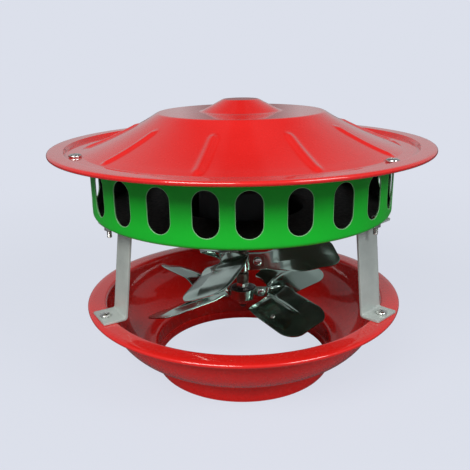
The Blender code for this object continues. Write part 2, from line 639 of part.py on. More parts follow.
def add_motor():
    """Closed motor on a foot ring in the pan's cup, its end cover and its shaft bush."""
    top = MOTOR_BOTTOM + MOTOR_HEIGHT
    bush_seat = BUSH_RADIUS + SEAT_GAP
    shaft_room = SHAFT_RADIUS + RUN_GAP
    bush_top = MOTOR_BOTTOM + BUSH_LENGTH + SEAT_GAP
    foot_top = MOTOR_BOTTOM + MOTOR_FOOT_THICKNESS
    housing = [(0, top), (MOTOR_RADIUS - MOTOR_SHOULDER, top), (MOTOR_RADIUS, top - MOTOR_SHOULDER),
               (MOTOR_RADIUS, foot_top), (MOTOR_FOOT_RADIUS, foot_top), (MOTOR_FOOT_RADIUS, MOTOR_BOTTOM),
               (bush_seat, MOTOR_BOTTOM), (bush_seat, bush_top), (shaft_room, bush_top),
               (shaft_room, MOTOR_BOTTOM + MOTOR_BORE_DEPTH), (0, MOTOR_BOTTOM + MOTOR_BORE_DEPTH)]
    motor = add_part("motor_housing", turned_mesh("motor_housing", housing, ROUND_STEPS), "motor_paint")
    head_room = HEAD_RADIUS + SEAT_GAP
    places = [polar(MOTOR_SCREW_CIRCLE, azimuth) for azimuth in STRAP_AZIMUTHS]
    cut(motor, upright_holes("motor_foot_holes", places, BOLT_RADIUS + SEAT_GAP,
                             MOTOR_BOTTOM - OVERRUN, foot_top + OVERRUN))
    cut(motor, upright_holes("motor_head_rooms", places, head_room, foot_top,
                             foot_top + HEAD_HEIGHT + OVERRUN))
    cover_foot = top + SEAT_GAP
    cover_radius = MOTOR_RADIUS - MOTOR_SHOULDER
    cover = [(0, cover_foot + COVER_HEIGHT), (COVER_BOSS_RADIUS, cover_foot + COVER_HEIGHT),
             (COVER_BOSS_RADIUS, cover_foot + COVER_HEIGHT - COVER_BOSS_HEIGHT),
             (cover_radius / 2 + COVER_BOSS_RADIUS / 2, cover_foot + COVER_HEIGHT - COVER_BOSS_HEIGHT),
             (cover_radius, cover_foot + (COVER_HEIGHT - COVER_BOSS_HEIGHT) / 2),
             (cover_radius, cover_foot), (0, cover_foot)]
    add_part("motor_end_cover", turned_mesh("motor_end_cover", cover, ROUND_STEPS), "motor_paint")
    bush = [(BUSH_RADIUS, MOTOR_BOTTOM + BUSH_LENGTH), (BUSH_RADIUS, MOTOR_BOTTOM),
            (shaft_room, MOTOR_BOTTOM), (shaft_room, MOTOR_BOTTOM + BUSH_LENGTH)]
    add_part("shaft_bush", turned_mesh("shaft_bush", bush, ROUND_STEPS, closed=True), "bronze")


# Shaft and sleeves

def add_ring(name, radius, bottom, top, finish, parent):
    """A plain sleeve on the shaft."""
    bore = SHAFT_RADIUS + SEAT_GAP
    section = [(radius, top), (radius, bottom), (bore, bottom), (bore, top)]
    add_part(name, turned_mesh(name, section, ROUND_STEPS, closed=True), finish, parent=parent)


def add_shaft(axis):
    """The motor's shaft and what is threaded on it, from the upper sleeve to the end nut."""
    shaft_top = MOTOR_BOTTOM + MOTOR_BORE_DEPTH - RUN_GAP
    shaft = [(0, shaft_top), (SHAFT_RADIUS, shaft_top), (SHAFT_RADIUS, SHAFT_END + SHAFT_CHAMFER),
             (SHAFT_RADIUS - SHAFT_CHAMFER, SHAFT_END), (0, SHAFT_END)]
    add_part("fan_shaft", turned_mesh("fan_shaft", shaft, ROUND_STEPS), "shaft_steel", parent=axis)
    sleeve_bottom = UPPER_FAN_HEIGHT - UPPER_SLEEVE_LENGTH / 2
    sleeve_top = UPPER_FAN_HEIGHT + UPPER_SLEEVE_LENGTH / 2
    add_ring("upper_sleeve", UPPER_SLEEVE_RADIUS, sleeve_bottom, sleeve_top, "shaft_steel", axis)
    drum_bottom = LOWER_FAN_HEIGHT - DRUM_LENGTH / 2
    drum_top = LOWER_FAN_HEIGHT + DRUM_LENGTH / 2
    add_ring("hub_drum", DRUM_RADIUS, drum_bottom, drum_top, "dark_steel", axis)
    nut = hex_nut_mesh("shaft_nut", SHAFT_NUT_WIDTH, SHAFT_NUT_HEIGHT, SHAFT_RADIUS + SEAT_GAP)
    add_part("lock_nut", nut, "zinc", (0, 0, drum_top + SEAT_GAP), parent=axis)
    add_part("end_nut", nut, "zinc", (0, 0, drum_bottom - SEAT_GAP - SHAFT_NUT_HEIGHT), parent=axis)
    spacer_bottom = drum_top + 2 * SEAT_GAP + SHAFT_NUT_HEIGHT
    add_ring("spacer_sleeve", SPACER_RADIUS, spacer_bottom, sleeve_bottom - SEAT_GAP, "galvanised", axis)


# Fan strips

def clamp_places(hub_radius, ear_room):
    """Distances along a strip's ear: where it starts, its bolt and where it ends."""
    wrap = hub_radius + SEAT_GAP + STRIP_SHEET / 2
    lie = SEAT_GAP / 2 + STRIP_SHEET / 2
    start = sqrt((wrap + STRIP_FILLET) ** 2 - (lie + STRIP_FILLET) ** 2)
    bolt = start + ear_room + CLAMP_HEAD_RADIUS
    return start, bolt, bolt + EAR_MARGIN + CLAMP_HEAD_RADIUS


def half_strip_path(hub_radius, ear_room, azimuth, side):
    """Plan of a strip from the middle of its wrap to the blade's tip on the right.

    Each point is (x, y, heading, distance past the ear). side is -1 for the front
    strip and 1 for the back one. With no azimuth the strip stops at its ear.
    """
    wrap = hub_radius + SEAT_GAP + STRIP_SHEET / 2
    lie = SEAT_GAP / 2 + STRIP_SHEET / 2
    ear_start, _, ear_end = clamp_places(hub_radius, ear_room)
    open_angle = atan2(ear_start, lie + STRIP_FILLET)
    path = []
    for k in range(WRAP_STEPS + 1):
        angle = open_angle * k / WRAP_STEPS
        path.append((wrap * sin(angle), side * wrap * cos(angle), -side * angle, 0))
    for k in (1, 2):
        angle = open_angle * (1 - k / 2)
        path.append((ear_start - STRIP_FILLET * sin(angle),
                     side * (lie + STRIP_FILLET * (1 - cos(angle))), -side * angle, 0))
    path.append((ear_end, side * lie, 0, 0))
    if azimuth is None:
        return path
    heading = radians(azimuth) - pi / 2
    root = Vector((ear_end, side * lie))
    step = BLADE_BEND / BEND_STEPS
    for k in range(1, BEND_STEPS + 1):
        chord_heading = heading * (k - 0.5) / BEND_STEPS
        root += step * Vector((cos(chord_heading), sin(chord_heading)))
        path.append((root.x, root.y, heading * k / BEND_STEPS, step * k))
    out = Vector((cos(heading), sin(heading)))
    along = root.dot(out)
    length = sqrt(BLADE_TIP_RADIUS ** 2 - root.length_squared + along ** 2) - along
    past = path[-1][3]
    widen_end = WIDEN_START + WIDEN_LENGTH
    stops = [past + (widen_end - past) * share for share in WIDEN_SHARES]
    even = length - TIP_LENGTH - (widen_end - past)
    stops += [widen_end + even * share for share in EVEN_SHARES]
    stops += [past + length - TIP_LENGTH * (1 - sin(radians(angle))) for angle in TIP_ANGLES]
    for stop in stops:
        point = root + out * (stop - past)
        path.append((point.x, point.y, heading, stop))
    return path


def eased(share):
    """0 to 1 with no corner at either end."""
    share = min(max(share, 0.0), 1.0)
    return share * share * (3 - 2 * share)


def half_strip_rows(hub_radius, ear_room, neck, pitch, height, blade, side, turn=0):
    """Rows across a strip, from the wrap to the tip: lower edge, crease, upper edge."""
    azimuth, lift, shift = blade
    if azimuth is not None:
        azimuth += turn
    path = half_strip_path(hub_radius, ear_room, azimuth, side)
    end = path[-1][3]
    rows = []
    for x, y, heading, past in path:
        lean = radians(90 - (90 - pitch) * eased(past / TWIST_LENGTH))
        widened = eased((past - WIDEN_START) / WIDEN_LENGTH)
        risen = lift * eased((past - TWIST_LENGTH) / LIFT_LENGTH)
        chord = neck + (BLADE_CHORD - neck) * widened
        tip = max(0.0, 1 - (end - past) / TIP_LENGTH) if end else 0.0
        chord *= TIP_END_SHARE + (1 - TIP_END_SHARE) * sqrt(1 - tip * tip)
        crease = CREASE_DEPTH * eased((past - TWIST_LENGTH) / WIDEN_LENGTH) * (1 - tip)
        level = Vector((-sin(heading), cos(heading), 0))
        across = level * cos(lean) + Vector((0, 0, 1)) * sin(lean)
        normal = Vector((cos(heading), sin(heading), 0)).cross(across)
        centre = Vector((x, y, height + risen)) + across * shift * widened
        rows.append([centre - across * chord / 2,
                     centre + across * chord * CREASE_SHARE + normal * crease,
                     centre + across * chord / 2])
    return rows


def add_strip(name, hub_radius, ear_room, neck, pitch, height, left, right, side, axis):
    """One sheet strip with its blades. The left half is a right half turned round."""
    right_rows = half_strip_rows(hub_radius, ear_room, neck, pitch, height, right, side)
    left_rows = half_strip_rows(hub_radius, ear_room, neck, pitch, height, left, -side, 180)
    turned_left = [[Vector((-p.x, -p.y, p.z)) for p in row] for row in left_rows]
    strip = add_part(name, bent_sheet(name, turned_left[:0:-1] + right_rows), "blade_sheet", parent=axis)
    thicken(strip, STRIP_SHEET, 0)
    shapes = bmesh.new()
    _, bolt_place, _ = clamp_places(hub_radius, ear_room)
    for x in (-bolt_place, bolt_place):
        place = Matrix.Translation((x, 0, height)) @ Matrix.Rotation(pi / 2, 4, 'X')
        bmesh.ops.create_cone(shapes, cap_ends=True, segments=HOLE_STEPS,
                              radius1=CLAMP_BOLT_RADIUS + SEAT_GAP, radius2=CLAMP_BOLT_RADIUS + SEAT_GAP,
                              depth=2 * OVERRUN, matrix=place)
    cut(strip, add_cutter(f"{name}_holes", shapes))


def blade_places(azimuths, lift_shares, shift_shares):
    """Azimuth, lift and shift of each blade of a fan."""
    return [(azimuth, BLADE_CHORD * lift, BLADE_CHORD * shift)
            for azimuth, lift, shift in zip(azimuths, lift_shares, shift_shares)]


def add_fan(level, hub_radius, ear_room, neck, pitch, height, blades, bolt_mesh, nut_mesh, axis):
    """Two strips round the hub and the two bolts that clamp them."""
    front_left, front_right, back_left, back_right = blades
    for strip_name, left, right, side in (("front", front_left, front_right, -1),
                                          ("back", back_left, back_right, 1)):
        add_strip(f"{level}_fan_strip_{strip_name}", hub_radius, ear_room, neck, pitch, height, left,
                  right, side, axis)
    _, bolt_place, _ = clamp_places(hub_radius, ear_room)
    face = SEAT_GAP / 2 + STRIP_SHEET + SEAT_GAP
    for side_name, x in (("left", -bolt_place), ("right", bolt_place)):
        add_part(f"{level}_clamp_bolt_{side_name}", bolt_mesh, "zinc", (x, -face, height),
                 (pi / 2, 0, 0), axis)
        add_part(f"{level}_clamp_nut_{side_name}", nut_mesh, "zinc", (x, face, height),
                 (-pi / 2, 0, 0), axis)


def add_fans():
    """Both fans and the shaft, under an empty on the axis that they turn about."""
    axis = bpy.data.objects.new("fan_axis", None)
    parts.objects.link(axis)
    add_shaft(axis)
    grip = SEAT_GAP + 2 * STRIP_SHEET
    length = grip + 2 * SEAT_GAP + CLAMP_NUT_HEIGHT + BOLT_TAIL
    bolt = pan_head_mesh("clamp_bolt", CLAMP_HEAD_RADIUS, CLAMP_HEAD_HEIGHT, CLAMP_BOLT_RADIUS, length)
    nut = hex_nut_mesh("clamp_nut", CLAMP_NUT_WIDTH, CLAMP_NUT_HEIGHT, CLAMP_BOLT_RADIUS + SEAT_GAP)
    upper_blades = blade_places(UPPER_BLADES, UPPER_LIFT_SHARES, UPPER_SHIFT_SHARES)
    lower_blades = blade_places(LOWER_BLADES, LOWER_LIFT_SHARES, LOWER_SHIFT_SHARES)
    add_fan("upper", UPPER_SLEEVE_RADIUS, UPPER_EAR_ROOM, UPPER_NECK, UPPER_PITCH, UPPER_FAN_HEIGHT,
            upper_blades, bolt, nut, axis)
    add_fan("lower", DRUM_RADIUS, LOWER_EAR_ROOM, LOWER_NECK, LOWER_PITCH, LOWER_FAN_HEIGHT,
            lower_blades, bolt, nut, axis)


add_base()
add_straps()
add_pan()
add_cap()
add_motor()
add_fasteners()
add_fans()
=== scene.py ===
from math import atan2, cos, floor, pi, radians, sin, sqrt, tau

import bmesh
import bpy
from mathutils import Euler, Matrix, Vector


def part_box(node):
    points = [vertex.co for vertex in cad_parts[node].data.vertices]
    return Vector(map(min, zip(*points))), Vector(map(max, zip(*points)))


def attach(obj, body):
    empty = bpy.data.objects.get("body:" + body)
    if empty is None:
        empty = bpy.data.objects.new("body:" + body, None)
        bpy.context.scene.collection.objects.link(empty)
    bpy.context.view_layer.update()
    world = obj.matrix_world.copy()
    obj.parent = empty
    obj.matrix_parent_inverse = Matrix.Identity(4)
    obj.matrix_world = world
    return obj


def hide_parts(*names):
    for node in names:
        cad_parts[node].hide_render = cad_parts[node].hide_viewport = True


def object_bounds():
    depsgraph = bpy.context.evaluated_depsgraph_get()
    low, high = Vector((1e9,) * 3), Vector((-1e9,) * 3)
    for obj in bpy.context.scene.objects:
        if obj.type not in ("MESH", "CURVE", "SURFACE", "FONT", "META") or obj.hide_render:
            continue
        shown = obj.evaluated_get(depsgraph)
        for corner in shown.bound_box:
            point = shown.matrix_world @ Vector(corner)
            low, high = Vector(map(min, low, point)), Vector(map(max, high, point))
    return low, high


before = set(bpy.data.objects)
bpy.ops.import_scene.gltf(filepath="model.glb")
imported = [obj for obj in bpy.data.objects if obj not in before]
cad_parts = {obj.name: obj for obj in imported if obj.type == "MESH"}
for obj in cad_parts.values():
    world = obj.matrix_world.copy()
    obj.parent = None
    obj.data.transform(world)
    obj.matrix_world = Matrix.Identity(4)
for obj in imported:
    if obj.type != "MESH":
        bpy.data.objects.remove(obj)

# Chimney draught fan: glossy red cap and base, bright green slotted pan, galvanised
# straps and two sheet-metal fans on one shaft. Metres, +Z up, front along -Y.

cadLow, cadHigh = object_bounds()
scene = bpy.context.scene
print("frame loaded:", len(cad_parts), "nodes")

# Camera, at the photograph's place

cameraView = {
    "place": (0.0, -0.6045, 0.3377),
    "pitch": 17.573,     # degrees below the horizon
    "yaw": -0.745,
    "roll": -0.894,
    "lens": 44.30,       # mm, on a 36 mm sensor
}


def addCamera(view):
    lens = bpy.data.cameras.new("camera")
    lens.sensor_width = 36
    lens.lens = view["lens"]
    lens.clip_start = 0.01
    lens.clip_end = 50
    camera = bpy.data.objects.new("camera", lens)
    scene.collection.objects.link(camera)
    pitch = radians(view["pitch"])
    yaw = radians(view["yaw"])
    ahead = Vector((sin(yaw) * cos(pitch), cos(yaw) * cos(pitch), -sin(pitch)))
    camera.location = view["place"]
    camera.rotation_mode = 'QUATERNION'
    camera.rotation_quaternion = (ahead.to_track_quat('-Z', 'Y')
                                  @ Euler((0, 0, radians(view["roll"]))).to_quaternion())
    scene.camera = camera


addCamera(cameraView)

# Light, floor and backdrop

studio = {
    # height of a direction (sine of its elevation): brightness of the sky there
    "sky": ((0.00, 0.46), (0.14, 0.50), (0.30, 0.44), (0.60, 0.34), (0.82, 0.12), (0.95, 0.20)),
    # how far a direction leans to the left or right: share of that brightness
    "skySides": ((0.00, 0.45), (0.055, 0.50), (0.10, 1.0), (1.00, 0.85)),
    "skyTint": (0.94, 0.97, 1.0),
    "background": (0.715, 0.745, 0.830),
    "floorTint": (0.52, 0.50, 0.49),     # the floor's bounce near the object
    "floorFar": (0.12, 0.12, 0.13),      # further off, and in mirrors
    "farReach": (0.26, 0.60),            # metres
    "floorShade": (0.62, 0.64, 0.70),    # takes the object's shadow
    "floorGlow": (0.88, 1.0),            # share of plain background, near and far off
    "glowReach": (0.35, 1.1),            # metres
    "floorSize": 40.0,
    # name: place, aimed at, size in metres, power in watts, colour
    "lamps": {
        "keyLamp": ((-0.70, -1.55, 1.55), (0, 0, 0.17), (1.3, 0.8), 47.0, (1.0, 0.985, 0.96)),
        "fillLamp": ((1.25, -1.20, 1.40), (0, 0, 0.17), (0.9, 0.7), 24.0, (0.96, 0.98, 1.0)),
    },
}


def newTree(owner):
    owner.use_nodes = True
    owner.node_tree.nodes.clear()
    return owner.node_tree


def addNode(tree, kind, values=None, **settings):
    node = tree.nodes.new("ShaderNode" + kind)
    for key, value in settings.items():
        setattr(node, key, value)
    for key, value in (values or {}).items():
        socket = node.inputs[key]
        socket.default_value = (*value, 1) if socket.type == 'RGBA' else value
    return node


def connect(tree, wires):
    # (node, its output, next node, its input)
    for giver, output, taker, entry in wires:
        tree.links.new(giver.outputs[output], taker.inputs[entry])


def meshOf(shape, name):
    mesh = bpy.data.meshes.new(name)
    shape.to_mesh(mesh)
    shape.free()
    return mesh


def skyRamp(tree, stops, tints):
    ramp = addNode(tree, "ValToRGB")
    while len(ramp.color_ramp.elements) < len(stops):
        ramp.color_ramp.elements.new(0.5)
    for stop, (position, brightness) in zip(ramp.color_ramp.elements, stops):
        stop.position = position
        stop.color = (*(brightness * tint for tint in tints), 1)
    return ramp


def addWorld(values):
    world = bpy.data.worlds.new("studioWorld")
    scene.world = world
    tree = newTree(world)
    direction = addNode(tree, "TexCoord")
    split = addNode(tree, "SeparateXYZ")
    ramp = skyRamp(tree, values["sky"], values["skyTint"])
    sides = skyRamp(tree, values["skySides"], (1, 1, 1))
    lean = addNode(tree, "Math", operation='ABSOLUTE')
    shaped = addNode(tree, "Mix", {"Factor": 1}, data_type='RGBA', blend_type='MULTIPLY')
    light = addNode(tree, "Background")
    seen = addNode(tree, "Background", {"Color": values["background"]})
    path = addNode(tree, "LightPath")
    mix = addNode(tree, "MixShader")
    output = addNode(tree, "OutputWorld")
    connect(tree, [
        (direction, "Generated", split, 0), (split, "Z", ramp, 0), (split, "X", lean, 0),
        (lean, 0, sides, 0), (ramp, 0, shaped, 6), (sides, 0, shaped, 7),
        (shaped, 2, light, "Color"), (path, "Is Camera Ray", mix, 0), (light, 0, mix, 1),
        (seen, 0, mix, 2), (mix, 0, output, "Surface")])


def addLamps(values):
    for name, (spot, aim, size, power, colour) in values["lamps"].items():
        lamp = bpy.data.lights.new(name, 'AREA')
        lamp.shape = 'RECTANGLE'
        lamp.size, lamp.size_y = size
        lamp.energy = power
        lamp.color = colour
        holder = bpy.data.objects.new(name, lamp)
        scene.collection.objects.link(holder)
        holder.location = spot
        holder.rotation_euler = (Vector(aim) - Vector(spot)).to_track_quat('-Z', 'Y').to_euler()


def floorMaterial(values):
    # plain background colour for the camera, with the shadow near the object kept in it
    material = bpy.data.materials.new("paleFloor")
    tree = newTree(material)
    farFrom, farTo = values["farReach"]
    glowFrom, glowTo = values["glowReach"]
    glowNear, glowFar = values["floorGlow"]
    bounce = addNode(tree, "BsdfDiffuse")
    tint = addNode(tree, "Mix", {6: values["floorTint"], 7: values["floorFar"]}, data_type='RGBA')
    further = addNode(tree, "MapRange", {"From Min": farFrom, "From Max": farTo})
    darker = addNode(tree, "Math", operation='MAXIMUM')
    shade = addNode(tree, "BsdfDiffuse", {"Color": values["floorShade"]})
    glow = addNode(tree, "Emission", {"Color": values["background"]})
    spot = addNode(tree, "TexCoord")
    away = addNode(tree, "VectorMath", operation='LENGTH')
    fade = addNode(tree, "MapRange", {"From Min": glowFrom, "From Max": glowTo, "To Min": glowNear,
                                      "To Max": glowFar}, interpolation_type='SMOOTHSTEP')
    seen = addNode(tree, "MixShader")
    path = addNode(tree, "LightPath")
    mix = addNode(tree, "MixShader")
    output = addNode(tree, "OutputMaterial")
    connect(tree, [
        (spot, "Object", away, 0), (away, "Value", fade, "Value"),
        (away, "Value", further, "Value"), (further, 0, darker, 0),
        (path, "Is Glossy Ray", darker, 1), (darker, 0, tint, "Factor"), (tint, 2, bounce, "Color"),
        (fade, 0, seen, 0), (shade, 0, seen, 1), (glow, 0, seen, 2),
        (path, "Is Camera Ray", mix, 0), (bounce, 0, mix, 1), (seen, 0, mix, 2),
        (mix, 0, output, "Surface")])
    return material


def addFloor(values):
    shape = bmesh.new()
    bmesh.ops.create_grid(shape, x_segments=1, y_segments=1, size=values["floorSize"] / 2)
    mesh = meshOf(shape, "floor")
    mesh.materials.append(floorMaterial(values))
    floorPlane = bpy.data.objects.new("floor", mesh)
    scene.collection.objects.link(floorPlane)
    floorPlane.location = (0, 0, cadLow.z - 0.0004)


addWorld(studio)
addLamps(studio)
addFloor(studio)
scene.view_settings.view_transform = 'Standard'
print("camera, lamps and floor are set")

# Shader node groups: they put out only masks, colours and heights


def newGroup(name, inputs, outputs):
    group = bpy.data.node_groups.new(name, 'ShaderNodeTree')
    for label, kind, value in inputs:
        kind = "NodeSocket" + kind
        socket = group.interface.new_socket(name=label, in_out='INPUT', socket_type=kind)
        socket.default_value = value
    for label, kind in outputs:
        kind = "NodeSocket" + kind
        group.interface.new_socket(name=label, in_out='OUTPUT', socket_type=kind)
    return group, group.nodes.new("NodeGroupInput"), group.nodes.new("NodeGroupOutput")


def toneGroup():
    # Slow drift between two colours, with fine specks of the second one
    group, given, result = newGroup("toneDrift", [
        ("Main", "Color", (0.5, 0.5, 0.5, 1)), ("Other", "Color", (0.4, 0.4, 0.4, 1)),
        ("Scale", "Float", 12.0), ("Speck Scale", "Float", 900.0),
    ], [("Color", "Color")])
    spot = addNode(group, "TexCoord")
    drift = addNode(group, "TexNoise", {"Detail": 4.0, "Roughness": 0.55})
    speck = addNode(group, "TexNoise", {"Detail": 2.0, "Roughness": 0.5})
    blend = addNode(group, "Math", {1: 0.82}, operation='MULTIPLY')
    rest = addNode(group, "Math", {1: 0.18}, operation='MULTIPLY')
    total = addNode(group, "Math", operation='ADD')
    ramp = addNode(group, "MapRange", {"From Min": 0.36, "From Max": 0.66})
    mix = addNode(group, "Mix", data_type='RGBA')
    connect(group, [
        (spot, "Object", drift, "Vector"), (given, "Scale", drift, "Scale"),
        (spot, "Object", speck, "Vector"), (given, "Speck Scale", speck, "Scale"),
        (drift, "Fac", blend, 0), (speck, "Fac", rest, 0), (blend, 0, total, 0),
        (rest, 0, total, 1), (total, 0, ramp, "Value"), (ramp, 0, mix, "Factor"),
        (given, "Main", mix, 6), (given, "Other", mix, 7), (mix, 2, result, "Color")])
    return group


def grainGroup():
    # Noise drawn out by a stretch: rolling marks, turning marks or orange peel
    group, given, result = newGroup("surfaceGrain", [
        ("Scale", "Float", 400.0), ("Stretch", "Vector", (1.0, 1.0, 1.0)),
        ("Low", "Float", 0.3), ("High", "Float", 0.5),
    ], [("Height", "Float"), ("Value", "Float")])
    spot = addNode(group, "TexCoord")
    stretch = addNode(group, "VectorMath", operation='MULTIPLY')
    noise = addNode(group, "TexNoise", {"Detail": 3.0, "Roughness": 0.6})
    spread = addNode(group, "MapRange", {"From Min": 0.3, "From Max": 0.7})
    connect(group, [
        (spot, "Object", stretch, 0), (given, "Stretch", stretch, 1), (stretch, 0, noise, "Vector"),
        (given, "Scale", noise, "Scale"), (noise, "Fac", spread, "Value"),
        (given, "Low", spread, "To Min"), (given, "High", spread, "To Max"),
        (noise, "Fac", result, "Height"), (spread, 0, result, "Value")])
    return group


def creaseGroup():
    # Painted shade: a darker tone of the colour in inner corners and creases, found by pointiness
    # and broken up by noise
    group, given, result = newGroup("paintedCreaseShade", [
        ("Color", "Color", (0.5, 0.5, 0.5, 1)), ("CreaseShade", "Color", (0.1, 0.08, 0.06, 1)),
        ("Amount", "Float", 0.6),
    ], [("Color", "Color")])
    shape = addNode(group, "NewGeometry")
    hollow = addNode(group, "MapRange", {"From Min": 0.485, "From Max": 0.43})
    spot = addNode(group, "TexCoord")
    noise = addNode(group, "TexNoise", {"Scale": 160.0, "Detail": 5.0})
    broken = addNode(group, "MapRange", {"From Min": 0.3, "From Max": 0.62})
    both = addNode(group, "Math", operation='MULTIPLY')
    amount = addNode(group, "Math", operation='MULTIPLY')
    mix = addNode(group, "Mix", data_type='RGBA')
    connect(group, [
        (shape, "Pointiness", hollow, "Value"), (spot, "Object", noise, "Vector"),
        (noise, "Fac", broken, "Value"), (hollow, 0, both, 0), (broken, 0, both, 1),
        (both, 0, amount, 0), (given, "Amount", amount, 1), (amount, 0, mix, "Factor"),
        (given, "Color", mix, 6), (given, "CreaseShade", mix, 7), (mix, 2, result, "Color")])
    return group


groups = {"tone": toneGroup(), "grain": grainGroup(), "crease": creaseGroup()}

# Finishes. Each has two colours that it drifts between, its grain and its gloss

plainFinish = {"metal": 0.0, "shine": 0.5, "drift": 9.0, "stretch": (1, 1, 1), "coat": 0.0,
               "coatRoughness": 0.3}
finishes = {
    "redEnamel": {"main": (0.60, 0.011, 0.009), "other": (0.54, 0.008, 0.006), "shine": 0.2,
                  "gloss": (0.22, 0.30), "grain": 120, "bump": 0.015, "depth": 0.0003, "coat": 1.0,
                  "coatRoughness": 0.045, "creaseShade": (0.16, 0.03, 0.02), "creaseShadeAmount": 0.55},
    "greenEnamel": {"main": (0.004, 0.40, 0.020), "other": (0.007, 0.35, 0.020), "shine": 0.25,
                    "gloss": (0.30, 0.42), "grain": 420, "bump": 0.08, "depth": 0.0004,
                    "coat": 0.15, "coatRoughness": 0.18, "creaseShade": (0.02, 0.12, 0.02),
                    "creaseShadeAmount": 0.5},
    # dark grey-green on the pan's floor and cup from below: painted shade, which the blades mirror
    "paintedShadeBelow": {"main": (0.110, 0.155, 0.125), "other": (0.110, 0.132, 0.100), "shine": 0.3,
                  "gloss": (0.40, 0.55), "grain": 350, "bump": 0.10, "depth": 0.0004,
                  "creaseShade": (0.03, 0.025, 0.015), "creaseShadeAmount": 0.6},
    # lighter green of the slot beads and cut faces: painted highlight on the rounded edges
    "slotEdgeHighlight": {"main": (0.20, 0.46, 0.21), "other": (0.12, 0.38, 0.14), "gloss": (0.25, 0.40),
                 "grain": 700, "bump": 0.08, "depth": 0.0002, "coat": 0.3, "coatRoughness": 0.2,
                 "creaseShade": (0.03, 0.12, 0.03), "creaseShadeAmount": 0.3},
    # near-black inner skin of the pan: painted shade inside it
    "paintedShadeInside": {"main": (0.006, 0.007, 0.006), "other": (0.010, 0.011, 0.009), "shine": 0.15,
                    "gloss": (0.5, 0.7), "grain": 300, "bump": 0.10, "depth": 0.0004,
                    "creaseShade": (0.02, 0.02, 0.018), "creaseShadeAmount": 0.4},
    "galvanised": {"main": (0.48, 0.525, 0.495), "other": (0.37, 0.41, 0.39), "metal": 0.3,
                   "drift": 28.0, "gloss": (0.36, 0.50), "grain": 90, "bump": 0.10, "depth": 0.0003,
                   "stretch": (1, 1, 6), "creaseShade": (0.16, 0.15, 0.13), "creaseShadeAmount": 0.5},
    "bladeSheet": {"main": (0.48, 0.61, 0.55), "other": (0.42, 0.54, 0.48), "metal": 1.0,
                   "gloss": (0.14, 0.20), "grain": 60, "bump": 0.03, "depth": 0.0003,
                   "creaseShade": (0.10, 0.10, 0.09), "creaseShadeAmount": 0.4},
    "zinc": {"main": (0.78, 0.78, 0.76), "other": (0.66, 0.66, 0.63), "metal": 1.0,
             "gloss": (0.16, 0.28), "grain": 900, "bump": 0.06, "depth": 0.0002,
             "creaseShade": (0.10, 0.09, 0.08), "creaseShadeAmount": 0.7},
    "shaftSteel": {"main": (0.26, 0.24, 0.21), "other": (0.13, 0.11, 0.09), "metal": 1.0,
                   "gloss": (0.24, 0.40), "grain": 60, "bump": 0.12, "depth": 0.0003,
                   "stretch": (1, 1, 30), "creaseShade": (0.05, 0.035, 0.025), "creaseShadeAmount": 0.8},
    "darkSteel": {"main": (0.050, 0.042, 0.040), "other": (0.025, 0.020, 0.019), "metal": 0.9,
                  "gloss": (0.22, 0.40), "grain": 200, "bump": 0.15, "depth": 0.0003, "coat": 0.2,
                  "coatRoughness": 0.15, "creaseShade": (0.02, 0.016, 0.014), "creaseShadeAmount": 0.8},
    "motorPaint": {"main": (0.050, 0.055, 0.060), "other": (0.030, 0.034, 0.038),
                   "gloss": (0.40, 0.55), "grain": 500, "bump": 0.12, "depth": 0.0003, "coat": 0.1,
                   "creaseShade": (0.02, 0.02, 0.02), "creaseShadeAmount": 0.6},
    "bronze": {"main": (0.55, 0.37, 0.17), "other": (0.40, 0.25, 0.11), "metal": 1.0,
               "gloss": (0.30, 0.42), "grain": 300, "bump": 0.08, "depth": 0.0002,
               "creaseShade": (0.08, 0.05, 0.03), "creaseShadeAmount": 0.7},
}


def makeFinish(name, look):
    material = bpy.data.materials.new(name)
    tree = newTree(material)
    low, high = look["gloss"]
    shader = addNode(tree, "BsdfPrincipled", {
        "Metallic": look["metal"], "Coat Weight": look["coat"],
        "Coat Roughness": look["coatRoughness"], "Specular IOR Level": look["shine"]})
    output = addNode(tree, "OutputMaterial")
    tone = addNode(tree, "Group", node_tree=groups["tone"], values={
        "Main": look["main"], "Other": look["other"], "Scale": look["drift"]})
    grain = addNode(tree, "Group", node_tree=groups["grain"], values={
        "Scale": look["grain"], "Stretch": look["stretch"], "Low": low, "High": high})
    # darker tone in inner corners and creases: painted shade
    crease = addNode(tree, "Group", node_tree=groups["crease"], values={
        "CreaseShade": look["creaseShade"], "Amount": look["creaseShadeAmount"]})
    bump = addNode(tree, "Bump", {"Strength": look["bump"], "Distance": look["depth"]})
    connect(tree, [
        (tone, "Color", crease, "Color"), (crease, "Color", shader, "Base Color"),
        (grain, "Value", shader, "Roughness"), (grain, "Height", bump, "Height"),
        (bump, "Normal", shader, "Normal"), (shader, 0, output, "Surface")])
    return material


materials = {name: makeFinish(name, {**plainFinish, **look}) for name, look in finishes.items()}
print("finishes made:", len(materials))

# Shared makers of outlines and meshes

tiny = 1e-7
smoothAngle = radians(38)
boltHole = 0.0028     # radius
drillReach = 0.0040   # on both sides of a sheet


def polar(radius, azimuth, height):
    # azimuth in degrees, 0 at the front and positive to the right
    angle = radians(azimuth)
    return Vector((radius * sin(angle), -radius * cos(angle), height))


def facing(azimuth):
    # turn about Z of a piece that is drawn along +X
    return radians(azimuth) - pi / 2


def arc(centre, across, high, start, end, steps):
    # points of an ellipse, in degrees from its right end
    angles = [radians(start + (end - start) * k / steps) for k in range(steps + 1)]
    return [(centre[0] + across * cos(a), centre[1] + high * sin(a)) for a in angles]


def eased(share):
    share = min(max(share, 0.0), 1.0)
    return share * share * (3 - 2 * share)


